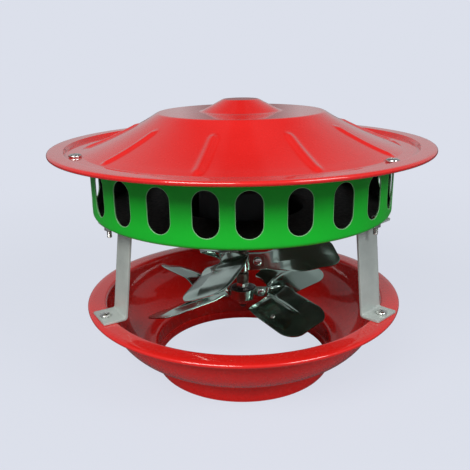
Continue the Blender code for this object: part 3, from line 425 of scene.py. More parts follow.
def rounded(corners, steps=6):
    # (x, z, radius) corners to a path with round corners
    path = []
    for i, (x, z, radius) in enumerate(corners):
        here = Vector((x, z))
        if radius <= 0 or i == 0 or i == len(corners) - 1:
            if not path or (here - Vector(path[-1])).length > tiny:
                path.append((x, z))
            continue
        into = (here - Vector(corners[i - 1][:2])).normalized()
        away = (Vector(corners[i + 1][:2]) - here).normalized()
        turn = into.angle(away)
        start = here - into * radius * sin(turn / 2) / cos(turn / 2)
        side = 1 if into.x * away.y - into.y * away.x > 0 else -1
        centre = start + Vector((-into.y, into.x)) * side * radius
        for k in range(steps + 1):
            point = centre + Matrix.Rotation(side * turn * k / steps, 2) @ (start - centre)
            if not path or (point - Vector(path[-1])).length > tiny:
                path.append(tuple(point))
    return path


def filledIn(path, longest):
    # the path with no stretch longer than the given length
    full = [path[0]]
    for before, after in zip(path, path[1:]):
        parts = floor((Vector(after) - Vector(before)).length / longest) + 1
        for k in range(1, parts + 1):
            full.append(tuple(Vector(before).lerp(Vector(after), k / parts)))
    return full


def shifted(path, distance):
    # the path moved to the left of its direction
    moved = []
    for i, point in enumerate(path):
        here = Vector(point)
        before = here - Vector(path[i - 1]) if i else Vector(path[1]) - here
        after = Vector(path[i + 1]) - here if i < len(path) - 1 else before
        normals = [Vector((-d.y, d.x)).normalized() for d in (before, after)]
        mitre = (normals[0] + normals[1]).normalized()
        moved.append(tuple(here + mitre * distance / mitre.dot(normals[0])))
    return moved


def roundShaded(mesh):
    mesh.shade_smooth()
    mesh.set_sharp_from_angle(angle=smoothAngle)


def meshFrom(name, points, faces):
    mesh = bpy.data.meshes.new(name)
    mesh.from_pydata(points, [], faces)
    mesh.update()
    mesh.shade_smooth()
    return mesh


def turned(name, path, columns, closed=False, angles=None, shape=None):
    # the path runs down the outer side; shape(radius, height, angle) may move a point
    angles = angles or [tau * k / columns for k in range(columns)]
    points = []
    rings = []
    for radius, height in path:
        if radius < tiny:
            rings.append([len(points)])
            points.append((0.0, 0.0, height))
            continue
        ring = []
        for angle in angles:
            r, z = shape(radius, height, angle) if shape else (radius, height)
            ring.append(len(points))
            points.append((r * cos(angle), r * sin(angle), z))
        rings.append(ring)
    faces = []
    pairs = list(zip(rings, rings[1:]))
    if closed:
        pairs.append((rings[-1], rings[0]))
    for upper, lower in pairs:
        for k in range(columns):
            n = (k + 1) % columns
            if len(upper) == 1:
                faces.append((upper[0], lower[k], lower[n]))
            elif len(lower) == 1:
                faces.append((upper[k], lower[0], upper[n]))
            else:
                faces.append((upper[k], lower[k], lower[n], upper[n]))
    mesh = meshFrom(name, points, faces)
    roundShaded(mesh)
    return mesh


def asObject(mesh, finish=None):
    piece = bpy.data.objects.new(mesh.name, mesh)
    scene.collection.objects.link(piece)
    if finish:
        mesh.materials.append(materials[finish])
    return piece


def baked(piece, cutters):
    # the piece's mesh with its modifiers applied; the pieces that cut it go
    graph = bpy.context.evaluated_depsgraph_get()
    mesh = bpy.data.meshes.new_from_object(piece.evaluated_get(graph))
    name = piece.data.name
    for used in (piece, *cutters):
        bpy.data.objects.remove(used)
    mesh.name = name
    roundShaded(mesh)
    return mesh


def boolean(piece, other, operation='DIFFERENCE', keepMaterial=False):
    modifier = piece.modifiers.new("cut", 'BOOLEAN')
    modifier.operation = operation
    modifier.solver = 'EXACT'
    modifier.object = other
    if keepMaterial:
        modifier.material_mode = 'TRANSFER'
    return modifier


def roundPins(spots, radius, low, high, segments=24):
    # upright cylinders that drill holes
    shape = bmesh.new()
    for spot in spots:
        middle = Matrix.Translation((spot[0], spot[1], (low + high) / 2))
        bmesh.ops.create_cone(shape, cap_ends=True, segments=segments, radius1=radius,
                              radius2=radius, depth=high - low, matrix=middle)
    return asObject(meshOf(shape, "pins"))


def drilled(mesh, holes):
    # holes are (spots, radius, low, high)
    piece = asObject(mesh)
    pins = [roundPins(*hole) for hole in holes]
    for pin in pins:
        boolean(piece, pin)
    return baked(piece, pins)


def sheetFrom(name, rows):
    # a sheet through rows of points
    across = len(rows[0])
    points = [point for row in rows for point in row]
    faces = [(i * across + j, (i + 1) * across + j, (i + 1) * across + j + 1, i * across + j + 1)
             for i in range(len(rows) - 1) for j in range(across - 1)]
    return meshFrom(name, points, faces)


def thickSheet(mesh, thickness, edgeRound, pins):
    # Solidify about the middle, drill, then round the edges
    piece = asObject(mesh)
    solid = piece.modifiers.new("thickness", 'SOLIDIFY')
    solid.thickness = thickness
    solid.offset = 0
    solid.use_even_offset = True
    for pin in pins:
        boolean(piece, pin)
    soft = piece.modifiers.new("edges", 'BEVEL')
    soft.width = edgeRound
    soft.segments = 2
    soft.limit_method = 'ANGLE'
    soft.angle_limit = radians(50)
    return baked(piece, pins)


def place(mesh, name, finish, body, nodes, location=(0, 0, 0), rotation=(0, 0, 0)):
    # puts a finished mesh in the model in place of its CAD nodes
    if not mesh.materials:
        mesh.materials.append(materials[finish])
    piece = bpy.data.objects.new(name, mesh)
    scene.collection.objects.link(piece)
    piece.location = location
    piece.rotation_euler = rotation
    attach(piece, body)
    if nodes:
        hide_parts(*nodes)


def placeFine(mesh, node, finish, body, location=(0, 0, 0), rotation=(0, 0, 0)):
    place(mesh, f"{node}_fine", finish, body, [node], location, rotation)


def middleOf(node):
    low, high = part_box(node)
    return (low + high) / 2


def holesFor(bolts, height):
    # bolt holes through the sheet at a height
    spots = [middleOf(f"{bolts}_{i}") for i in (1, 2, 3)]
    return spots, boltHole, height - drillReach, height + drillReach


# Base: collar with a folded hem, bowl and flange with a rolled edge

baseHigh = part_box("base_flange")[1]
base = {
    "sheet": 0.0012,
    "collarRadius": 0.0990,
    "collarHeight": 0.0268,
    "hemThickness": 0.0030,
    "hemHeight": 0.0100,
    "collarRound": 0.0030,
    "bowlRadius": 0.1507,
    "mouthRound": 0.0026,
    "rollRadius": 0.0022,
    "rollFrom": -88.0,       # degrees on the rolled edge, 0 outwards and 90 upwards
    "rollTo": 77.0,
    "columns": 288,
}


def basePath(values):
    sheet = values["sheet"]
    roll = values["rollRadius"]
    bowl = values["bowlRadius"]
    mouth = values["mouthRound"]
    collar = values["collarRadius"]
    collarTop = values["collarHeight"]
    collarRound = values["collarRound"]
    top = baseHigh.z
    edge = (baseHigh.x - roll, top - roll)
    outside = arc(edge, roll - sheet, roll - sheet, values["rollFrom"], values["rollTo"], 8)
    under = rounded([(edge[0], top - sheet, 0), (bowl, top - sheet, mouth),
                     (bowl, top - sheet - 2 * mouth, 0)])
    outside += filledIn(under[:2], 0.005)[1:] + under[2:-1]
    bowlFoot = collar + collarRound
    bowlTop = outside[-1][1]
    outside += arc((bowlFoot, bowlTop), bowl - bowlFoot, collarTop - bowlTop, 0, 90, 24)[1:]
    outside += arc((bowlFoot, collarTop - collarRound), collarRound, collarRound, 90, 180, 6)[1:]
    inside = shifted(outside, -sheet)
    hem = values["hemThickness"] / 2
    foot = [(collar, max(collarTop * (3 - k) / 4, hem)) for k in range(3)]
    foot += arc((collar - hem, hem), hem, hem, 0, -180, 8)[1:]
    hemTop = values["hemHeight"]
    inner = collar - 2 * hem
    foot += [(inner, hemTop - 0.0008), (inner + 0.0003, hemTop - 0.0002), (inner + 0.0008, hemTop),
             (collar - sheet, hemTop - 0.0002)]
    return outside + foot + inside[::-1]


def addBase(values):
    mesh = turned("baseShell", basePath(values), values["columns"], closed=True)
    mesh = drilled(mesh, [holesFor("foot_screw", baseHigh.z)])
    place(mesh, "base_shell", "redEnamel", "housing", ["base_flange"])


addBase(base)
print("base made")

# Rain cap: boss, plateau, slope with pressed ribs, seat, raised brim and rolled rim

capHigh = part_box("rain_cap")[1]
cap = {
    "sheet": 0.0012,
    "bossRise": 0.0473,         # over the seat
    "bossTopRadius": 0.0180,
    "bossFootRadius": 0.0410,
    "plateauRise": 0.0354,
    "plateauRadius": 0.0850,
    "bossTopRound": 0.0070,
    "bossFootRound": 0.0100,
    "plateauRound": 0.0060,
    "slopeLeave": (0.30, 0.42),  # shares of the slope's run and of its fall
    "slopeArrive": (0.74, 0.84),
    "seatInner": 0.1630,
    "seatOuter": 0.1776,
    "seatRound": 0.0060,
    "stepWidth": 0.0018,
    "brimRise": 0.0034,
    "rollRadius": 0.0022,
    "rollEnd": -125.0,          # degrees on the rolled rim, 0 outwards and 90 upwards
    "ribCount": 10,
    "ribStart": -49.0,          # degrees from the front
    "ribHeight": 0.0020,
    "ribHalfWidth": 0.0056,
    "ribFrom": 0.103,           # radius where a rib starts
    "ribTo": 0.162,
    "ribEndLength": 0.006,
    "gather": 0.80,             # how strongly the columns gather at the ribs
    "columns": 320,
}
capSeat = capHigh.z - cap["bossRise"]


def slopePath(values, steps=26):
    # a curve that leaves the plateau steeply and eases into the seat
    start = Vector((values["plateauRadius"], capSeat + values["plateauRise"]))
    end = Vector((values["seatInner"], capSeat))
    leave = start + (end - start) * Vector(values["slopeLeave"])
    arrive = start + (end - start) * Vector(values["slopeArrive"])
    path = []
    for k in range(steps + 1):
        t = k / steps
        path.append(tuple(start * (1 - t) ** 3 + leave * 3 * t * (1 - t) ** 2
                          + arrive * 3 * t * t * (1 - t) + end * t ** 3))
    return path


def capPath(values):
    plateau = capSeat + values["plateauRise"]
    brim = capSeat + values["brimRise"]
    seatOuter = values["seatOuter"]
    roll = values["rollRadius"]
    slope = slopePath(values)
    corners = [(0, capHigh.z, 0), (values["bossTopRadius"], capHigh.z, values["bossTopRound"]),
               (values["bossFootRadius"], plateau, values["bossFootRound"]),
               (values["plateauRadius"], plateau, values["plateauRound"]), (*slope[3], 0)]
    top = filledIn(rounded(corners, 7), 0.004)
    seat = [(*slope[-5], 0), (values["seatInner"], capSeat, values["seatRound"]),
            (seatOuter, capSeat, 0.0004), (seatOuter + values["stepWidth"], brim, 0.0006),
            (capHigh.x - roll, brim, 0)]
    top += slope[4:-5] + filledIn(rounded(seat, 5), 0.003)
    top += arc((capHigh.x - roll, brim - roll), roll, roll, 90, values["rollEnd"], 10)[1:]
    under = shifted(top, -values["sheet"])
    under[0] = (0, under[0][1])
    return top + under[::-1]


def ribLift(values, radius, sideways):
    # height of a rib at a radius and a distance from its line
    if radius <= values["ribFrom"] or radius >= values["ribTo"]:
        return 0.0
    ends = min(radius - values["ribFrom"], values["ribTo"] - radius) / values["ribEndLength"]
    across = sideways / values["ribHalfWidth"]
    if ends < 1:
        across = sqrt(across * across + (1 - ends) ** 2)
    if abs(across) >= 1:
        return 0.0
    return values["ribHeight"] * (1 - across * across) ** 1.5


def addCap(values):
    count = values["ribCount"]
    pitch = tau / count
    first = facing(values["ribStart"])
    angles = []
    for k in range(values["columns"]):
        even = tau * k / values["columns"]
        angles.append(even - values["gather"] / count * sin(count * even) + first)

    def pressed(radius, height, angle):
        off = (angle - first + pitch / 2) % pitch - pitch / 2
        return radius, height + ribLift(values, radius, radius * sin(off))

    mesh = turned("capShell", capPath(values), values["columns"], angles=angles, shape=pressed)
    mesh = drilled(mesh, [holesFor("cap_bolt", capSeat)])
    place(mesh, "cap_shell", "redEnamel", "housing", ["rain_cap"])


addCap(cap)
print("cap made")

# Slotted pan

panLow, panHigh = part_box("slotted_pan")
pan = {
    "sheet": 0.0012,
    "radius": 0.1560,
    "depth": 0.0621,
    "bottomRound": 0.0042,
    "topRound": 0.0026,
    "cupRadius": 0.0660,
    "cupRound": 0.0060,
    "cupMouthRound": 0.0040,
    "shaftHole": 0.0110,
    "slotCount": 23,
    "slotPitch": 15.76,      # degrees
    "slotStart": 2.3,        # from the front
    "slotWidth": 0.0232,
    "slotHeight": 0.0413,
    "slotDrop": 0.0107,
    "lipRadius": 0.00042,
    "lipGrow": 0.15,         # share of its radius that the bead stands outside the slot
    "lipSink": 0.28,         # share of the sheet that it lies below the surface
    "columns": 276,
}


def panPath(values):
    floorHeight = panHigh.z - values["depth"]
    flange = panHigh.z - values["sheet"]
    band = values["radius"]
    cup = values["cupRadius"]
    corners = [(panHigh.x, flange, 0), (band, flange, values["topRound"]),
               (band, floorHeight, values["bottomRound"]),
               (cup, floorHeight, values["cupMouthRound"]), (cup, panLow.z, values["cupRound"]),
               (values["shaftHole"], panLow.z, 0)]
    outside = filledIn(rounded(corners), 0.0045)
    return outside, shifted(outside, -values["sheet"])


def slotAzimuths(values):
    return [values["slotStart"] + k * values["slotPitch"] for k in range(values["slotCount"])]


def slotOutline(values, grow=0.0, steps=16):
    # round-ended slot, as (sideways, height) from its middle
    half = values["slotWidth"] / 2 + grow
    reach = (values["slotHeight"] - values["slotWidth"]) / 2
    return arc((0, reach), half, half, 0, 180, steps) + arc((0, -reach), half, half, -180, 0, steps)


def slotCutters(values, middle):
    shape = bmesh.new()
    for azimuth in slotAzimuths(values):
        turn = Matrix.Rotation(radians(azimuth), 4, 'Z')
        faces = []
        for y in (-values["radius"] - 0.003, -values["radius"] + 0.010):
            ring = [turn @ Vector((x, y, middle + z)) for x, z in slotOutline(values)]
            faces.append(shape.faces.new([shape.verts.new(point) for point in ring]))
        bmesh.ops.bridge_loops(shape, edges=[edge for face in faces for edge in face.edges])
    bmesh.ops.recalc_face_normals(shape, faces=shape.faces)
    # the cut faces take the lighter slot-edge green, a painted highlight
    return asObject(meshOf(shape, "slotCutters"), "slotEdgeHighlight")


def slotLips(values, middle, sides=8):
    # a fine bead round each slot: the rounded edge of the punched sheet, in a lighter green that is
    # a painted highlight
    points = []
    faces = []
    lip = values["lipRadius"]
    radius = values["radius"] - values["sheet"] * values["lipSink"]
    outline = slotOutline(values, grow=lip * values["lipGrow"])
    count = len(outline)
    for azimuth in slotAzimuths(values):
        first = len(points)
        for i, (x, z) in enumerate(outline):
            along = (Vector(outline[(i + 1) % count]) - Vector(outline[i - 1])).normalized()
            here = first + i * sides
            following = first + (i + 1) % count * sides
            for j in range(sides):
                out = lip * cos(tau * j / sides)
                side = lip * sin(tau * j / sides)
                turn = azimuth + (x + along.y * side) / radius * 180 / pi
                points.append(polar(radius + out, turn, middle + z - along.x * side))
                n = (j + 1) % sides
                faces.append((here + j, here + n, following + n, following + j))
    return meshFrom("slotLips", points, faces)


def addPan(values):
    outside, inside = panPath(values)
    columns = values["columns"]
    mesh = turned("panShell", outside + inside[::-1], columns, closed=True)
    for finish in ("greenEnamel", "paintedShadeInside", "slotEdgeHighlight", "paintedShadeBelow"):
        mesh.materials.append(materials[finish])
    # the inner skin of the band and floor is near-black, painted shade inside the pan, and the
    # floor and cup below are dark, painted shade under the pan
    innerFirst = len(outside) * columns
    innerLast = (len(outside) + len(inside) - 1) * columns
    floorEdge = values["radius"] - values["bottomRound"]
    for face in mesh.polygons:
        if innerFirst <= face.index < innerLast:
            face.material_index = 1
        # the floor and cup from below take painted shade
        elif face.center.xy.length < floorEdge:
            face.material_index = 3
    middle = panHigh.z - values["slotDrop"] - values["slotHeight"] / 2
    piece = asObject(mesh)
    cutter = slotCutters(values, middle)
    boolean(piece, cutter, keepMaterial=True)
    holes = [holesFor("cap_bolt", panHigh.z), holesFor("strap_bolt", panHigh.z - values["depth"]),
             holesFor("motor_screw", panLow.z)]
    mesh = drilled(baked(piece, [cutter]), holes)
    place(mesh, "pan_shell", "greenEnamel", "housing", ["slotted_pan"])
    lips = slotLips(values, middle)
    lips.materials.append(materials["slotEdgeHighlight"])
    rims = bpy.data.objects.new("slot_lips", lips)
    scene.collection.objects.link(rims)
    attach(rims, "housing")


addPan(pan)
print("pan made")

# Straps

strapLow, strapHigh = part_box("strap_back")
strap = {
    "sheet": 0.0020,
    "width": 0.0335,
    "bend": 0.0030,
    "footSetBack": 0.0151,
    "topSetBack": 0.0131,
    "corner": 0.0018,
    "topEnd": 0.1520,
    "edgeRound": 0.00045,
    # hand-bent: turn in degrees about the bolts, leg moved inwards at the foot and at the top
    "bends": {"left": (3.0, 0.0020, 0.0048), "right": (-15.5, -0.0018, -0.0004),
              "back": (0.0, 0.0, 0.0)},
}
strapAzimuths = {"left": -61.5, "right": 61.5, "back": 180.0}
footScrewCircle = middleOf("foot_screw_3").y
strapBoltCircle = middleOf("strap_bolt_3").y


def strapRows(values, footShift, topShift):
    sheet = values["sheet"]
    bend = values["bend"]
    corner = values["corner"]
    half = values["width"] / 2
    low = strapLow.z + sheet / 2
    high = strapHigh.z - sheet / 2
    footEnd = strapHigh.y
    topEnd = values["topEnd"]
    footBend = footScrewCircle - values["footSetBack"] - footShift + sheet / 2
    topBend = strapBoltCircle - values["topSetBack"] - topShift + sheet / 2
    path = rounded([(footEnd, low, 0), (footBend, low, bend), (topBend, high, bend),
                    (topEnd, high, 0)], 8)
    corners = arc((-corner, half - corner), corner, corner, 0, 90, 5)
    stations = [((footEnd + back, low), side) for back, side in corners]
    stations += [(point, half) for point in filledIn(path[1:-1], 0.004)]
    stations += [((topEnd + back, high), side) for back, side in reversed(corners)]
    return [[(radius, side * (2 * j / 8 - 1), height) for j in range(9)]
            for (radius, height), side in stations]


def addStraps(values):
    middle = Matrix.Translation(((footScrewCircle + strapBoltCircle) / 2, 0, 0))
    for name, azimuth in strapAzimuths.items():
        turn, footShift, topShift = values["bends"][name]
        twisted = middle @ Matrix.Rotation(radians(turn), 4, 'Z') @ middle.inverted()
        sheet = sheetFrom(f"strap_{name}_sheet", strapRows(values, footShift, topShift))
        sheet.transform(twisted)
        ends = ((footScrewCircle, strapLow.z), (strapBoltCircle, strapHigh.z))
        pins = [roundPins([(circle, 0)], boltHole, height - drillReach, height + drillReach)
                for circle, height in ends]
        mesh = thickSheet(sheet, values["sheet"], values["edgeRound"], pins)
        mesh.transform(Matrix.Rotation(facing(azimuth), 4, 'Z'))
        place(mesh, f"strap_{name}_sheet", "galvanised", "housing", [f"strap_{name}"])


addStraps(strap)
print("straps made")

# Bolts, screws and nuts

bolt = {
    "radius": 0.0025,
    "headRadius": 0.0047,
    "headHeight": 0.0030,
    "recess": 0.0052,         # width of the cross recess
    "recessBar": 0.0012,
    "recessDepth": 0.0016,
    "recessTaper": 0.55,      # its foot against its mouth
    "pitch": 0.0008,
    "threadDepth": 0.00042,
}
capBolt = dict(bolt, headRadius=0.0062, recess=0.0056)
footScrew = dict(bolt, headRadius=0.0055, recess=0.0054)
clampBolt = dict(bolt, radius=0.0020, headRadius=0.0038, headHeight=0.0024, recess=0.0042,
                 recessBar=0.0010, recessDepth=0.0013, pitch=0.0007, threadDepth=0.00036)
clampHead = dict(clampBolt, headRadius=0.0048, headHeight=0.0024, recess=0.0046)
nut = {"width": 0.0080, "height": 0.0036, "bore": 0.0028}
clampNut = {"width": 0.0070, "height": 0.0030, "bore": 0.0023}
shaftNut = {"width": 0.0130, "height": 0.0060, "bore": 0.0043}
# Bolt, its form, its turn in degrees, what its tail sticks out further than in the CAD,
# its nut and the turn of the nut against the radius
uprightBolts = (("cap_bolt", capBolt, 20, 0, "cap_nut", 0),
                ("foot_screw", footScrew, 35, 0, "foot_nut", 30),
                ("strap_bolt", bolt, 10, 0.0050, "strap_nut", 30),
                ("motor_screw", bolt, 0, 0, "motor_nut", 30))
clampTurns = {"left": 25, "right": 70}


def boltMesh(name, values, length):
    # domed head over the height 0, threaded shank below
    radius = values["radius"]
    head = values["headRadius"]
    top = values["headHeight"]
    path = [(0, top)]
    for k in range(1, 13):
        angle = pi / 2 * k / 12
        path.append((head * sin(angle) ** 0.9, top * (0.24 + 0.76 * cos(angle) ** 0.75)))
    path += [(head, top * 0.08), (head - 0.0003, 0), (radius + 0.0002, 0), (radius, -0.0002)]
    step = values["pitch"] / 4
    path += [(radius, -step * k) for k in range(1, int(length / step))]
    path += [(radius - 0.0005, -length), (0, -length)]

    def threaded(r, z, angle):
        if z > -0.0008 or z < -length + step or abs(r - radius) > tiny:
            return r, z
        phase = (z / values["pitch"] + angle / tau) % 1
        return r - values["threadDepth"] * abs(2 * phase - 1), z

    piece = asObject(turned(name, path, 28, shape=threaded))
    shape = bmesh.new()
    scale = Matrix.Diagonal((values["recess"], values["recessBar"], 2 * values["recessDepth"], 1))
    for turn in (0, pi / 2):
        made = bmesh.ops.create_cube(shape, size=1)
        spot = Matrix.Translation((0, 0, top)) @ Matrix.Rotation(turn, 4, 'Z')
        bmesh.ops.transform(shape, matrix=spot @ scale, verts=made["verts"])
        for vertex in made["verts"]:
            if vertex.co.z < top:
                vertex.co.x *= values["recessTaper"]
                vertex.co.y *= values["recessTaper"]
    cross = asObject(meshOf(shape, "recess"))
    boolean(piece, cross).use_self = True
    return baked(piece, [cross])


def nutMesh(name, values):
    # hexagon with turned-off corners and a bore
    half = values["width"] / 2
    corner = half / cos(pi / 6)
    height = values["height"]
    shape = bmesh.new()
    bmesh.ops.create_cone(shape, cap_ends=True, segments=6, radius1=corner, radius2=corner,
                          depth=height, matrix=Matrix.Translation((0, 0, height / 2)))
    piece = asObject(meshOf(shape, name))
    fall = (corner - half) * 0.75
    flat = half * 0.97
    rim = [(0, height + tiny), (flat, height), (corner + 0.0002, height - fall),
           (corner + 0.0002, fall), (flat, 0), (0, -tiny)]
    chamfer = asObject(turned("chamfer", rim, 48))
    reach = drillReach / 2
    bore = roundPins([(0, 0)], values["bore"], -reach, height + reach, 32)
    boolean(piece, chamfer, 'INTERSECT')
    boolean(piece, bore)
    return baked(piece, [chamfer, bore])


def addUprightBolts():
    plainNut = nutMesh("nutMesh", nut)
    for boltName, form, boltTurn, tail, nutName, nutTurn in uprightBolts:
        low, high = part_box(f"{boltName}_1")
        made = boltMesh(f"{boltName}Mesh", form, high.z - low.z - bolt["headHeight"] + tail)
        for i in (1, 2, 3):
            low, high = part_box(f"{boltName}_{i}")
            centre = (low + high) / 2
            placeFine(made.copy(), f"{boltName}_{i}", "zinc", "housing",
                      (centre.x, centre.y, high.z - bolt["headHeight"]),
                      (0, 0, radians(boltTurn + 50 * i)))
            low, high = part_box(f"{nutName}_{i}")
            centre = (low + high) / 2
            placeFine(plainNut.copy(), f"{nutName}_{i}", "zinc", "housing",
                      (centre.x, centre.y, low.z),
                      (0, 0, atan2(centre.y, centre.x) + radians(nutTurn)))


def addClampBolts():
    low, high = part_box("upper_clamp_bolt_left")
    made = boltMesh("clampBoltMesh", clampHead, high.y - low.y - clampBolt["headHeight"])
    smallNut = nutMesh("clampNutMesh", clampNut)
    for level in ("upper", "lower"):
        for side, turn in clampTurns.items():
            name = f"{level}_clamp_bolt_{side}"
            low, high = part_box(name)
            centre = (low + high) / 2
            mesh = made.copy()
            mesh.transform(Matrix.Rotation(radians(turn), 4, 'Z'))
            placeFine(mesh, name, "zinc", "rotor",
                      (centre.x, low.y + clampBolt["headHeight"], centre.z), (pi / 2, 0, 0))
            name = f"{level}_clamp_nut_{side}"
            low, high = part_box(name)
            centre = (low + high) / 2
            placeFine(smallNut.copy(), name, "zinc", "rotor", (centre.x, low.y, centre.z),
                      (-pi / 2, 0, 0))


addUprightBolts()
addClampBolts()
print("fasteners made")

# Motor in the pan's cup

motor = {
    "radius": 0.0460,
    "footRadius": 0.0570,
    "footThickness": 0.0040,
    "shoulder": 0.0060,
    "bushRadius": 0.0088,
    "shaftRoom": 0.0044,
    "bushDepth": 0.0163,
    "boreDepth": 0.0300,
    "screwRoom": 0.0050,      # radius cut into the body over a screw
    "screwRoomHeight": 0.0070,
    "bossRadius": 0.0140,     # of the end cover
    "bossHeight": 0.0050,
    "coverEdge": 0.0035,
}


def addMotor(values):
    low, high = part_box("motor_housing")
    foot = values["footRadius"]
    bush = values["bushRadius"]
    room = values["shaftRoom"]
    footTop = low.z + values["footThickness"]
    bushTop = low.z + values["bushDepth"]
    boreTop = low.z + values["boreDepth"]
    corners = [(0, high.z, 0), (values["radius"], high.z, values["shoulder"]),
               (values["radius"], footTop, 0.0015), (foot, footTop, 0.0006), (foot, low.z, 0.0006),
               (bush, low.z, 0.0003), (bush, bushTop, 0.0003), (room, bushTop, 0),
               (room, boreTop, 0), (0, boreTop, 0)]
    mesh = turned("motorShell", rounded(corners, 5), 96)
    holes = holesFor("motor_screw", (low.z + footTop) / 2)
    rooms = (holes[0], values["screwRoom"], footTop, footTop + values["screwRoomHeight"])
    place(drilled(mesh, [holes, rooms]), "motor_shell", "motorPaint", "housing", ["motor_housing"])
    low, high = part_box("motor_end_cover")
    boss = values["bossRadius"]
    shoulder = high.z - values["bossHeight"]
    corners = [(0, high.z, 0), (boss, high.z, 0.0012), (boss, shoulder, 0.0010),
               (high.x * 0.8, shoulder, 0.004), (high.x, low.z + values["coverEdge"], 0.0015),
               (high.x, low.z, 0.0004), (0, low.z, 0)]
    place(turned("coverShell", rounded(corners, 5), 96), "motor_cover", "motorPaint", "housing",
          ["motor_end_cover"])
    low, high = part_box("shaft_bush")
    corners = [(high.x, high.z, 0), (high.x, low.z, 0.0004), (room, low.z, 0)]
    path = rounded(corners, 3) + [(room, high.z)]
    place(turned("bushShell", path, 64, closed=True), "bush_ring", "bronze", "housing",
          ["shaft_bush"])


addMotor(motor)
print("motor made")

# Shaft and what is threaded on it

shaft = {"radius": 0.0040, "bore": 0.0043, "chamfer": 0.0010}
# Finish, round edge, columns, and grooves as (share of the height, depth, half the width)
rings = {
    "upper_sleeve": ("shaftSteel", 0.0007, 64, ((0.90, 0.0004, 0.0007), (0.12, 0.0004, 0.0007))),
    "spacer_sleeve": ("shaftSteel", 0.0006, 64, ((0.5, 0.0003, 0.0006),)),
    "hub_drum": ("darkSteel", 0.0012, 96, ((0.84, 0.0006, 0.0008), (0.16, 0.0006, 0.0008))),
}
shaftNuts = {"lock_nut": 0.0, "end_nut": 0.4}     # their turns


def addRing(node, finish, edge, columns, grooves):
    low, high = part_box(node)
    radius = high.x
    corners = [(shaft["bore"], high.z, 0), (radius, high.z, edge)]
    for share, depth, width in grooves:
        middle = low.z + (high.z - low.z) * share
        inner = width * 0.6
        corners += [(radius, middle + width, 0.0001), (radius - depth, middle + inner, 0.0001),
                    (radius - depth, middle - inner, 0.0001), (radius, middle - width, 0.0001)]
    corners += [(radius, low.z, edge), (shaft["bore"], low.z, 0)]
    mesh = turned(f"{node}Mesh", rounded(corners, 4), columns, closed=True)
    placeFine(mesh, node, finish, "rotor")


def addShaft(values):
    low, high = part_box("fan_shaft")
    radius = values["radius"]
    chamfer = values["chamfer"]
    corners = [(0, high.z, 0), (radius, high.z, 0.0003), (radius, low.z + chamfer, 0.0002),
               (radius - chamfer, low.z, 0.0002), (0, low.z, 0)]
    mesh = turned("shaftMesh", filledIn(rounded(corners, 4), 0.003), 48)
    placeFine(mesh, "fan_shaft", "shaftSteel", "rotor")
    for node, ring in rings.items():
        addRing(node, *ring)
    bigNut = nutMesh("shaftNutMesh", shaftNut)
    for node, turn in shaftNuts.items():
        low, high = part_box(node)
        placeFine(bigNut.copy(), node, "zinc", "rotor", (0, 0, low.z), (0, 0, turn))


addShaft(shaft)
print("shaft made")

# Fan strips

strip = {
    "sheet": 0.0012,
    "seat": 0.0003,
    "fillet": 0.0016,
    "bend": 0.0045,
    "earMargin": 0.0009,
    "twist": 0.0110,
    "rise": 0.0200,
    "widenStart": 0.0025,
    "widenLength": 0.0100,
    "tipLength": 0.0240,
    "tipShare": 0.42,
    "tipRadius": 0.1100,
    "chord": 0.0525,
    "crease": 0.0030,
    "ridge": 0.0019,          # pressed along the crease
    "ridgeHalf": 0.0022,
    "ridgeStart": 0.4,        # share of the twist's length
    "ridgeFade": (0.45, 0.35),  # shares of the blade: where it sinks, and over how much
    "edgeRound": 0.00035,
}
# Each blade has its azimuth in degrees, its lift and its shift as shares of the chord,
# and how slowly it twists and widens
upperFan = {
    "hub": 0.0055,
    "earRoom": 0.0052,
    "neck": 0.0200,
    "pitch": 21.4,
    "ridge": 0,
    "fold": -0.1428,
    "front": ((-14.6, -0.07, 0.21, 1), (None, 0.0, 0.0, 1)),
    "back": ((-173.3, -0.07, -0.05, 1), (103.6, 0.03, 0.05, 6)),
}
lowerFan = {
    "hub": 0.0135,
    "earRoom": 0.0009,
    "neck": 0.0110,
    "pitch": 18.7,
    "ridge": 1,
    "fold": 0.07,
    "front": ((-47.2, -0.06, 0.04, 1), (29.6, -0.04, -0.12, 1)),
    "back": ((-139.2, 0.12, 0.02, 1), (135.4, 0.09, 0.06, 1)),
}


def earPlaces(values, fan):
    # radius of the wrap, the ear's distance from the middle plane, where it starts, its bolt
    wrap = fan["hub"] + values["seat"] + values["sheet"] / 2
    lie = values["seat"] / 2 + values["sheet"] / 2
    start = sqrt((wrap + values["fillet"]) ** 2 - (lie + values["fillet"]) ** 2)
    return wrap, lie, start, start + fan["earRoom"] + clampBolt["headRadius"]


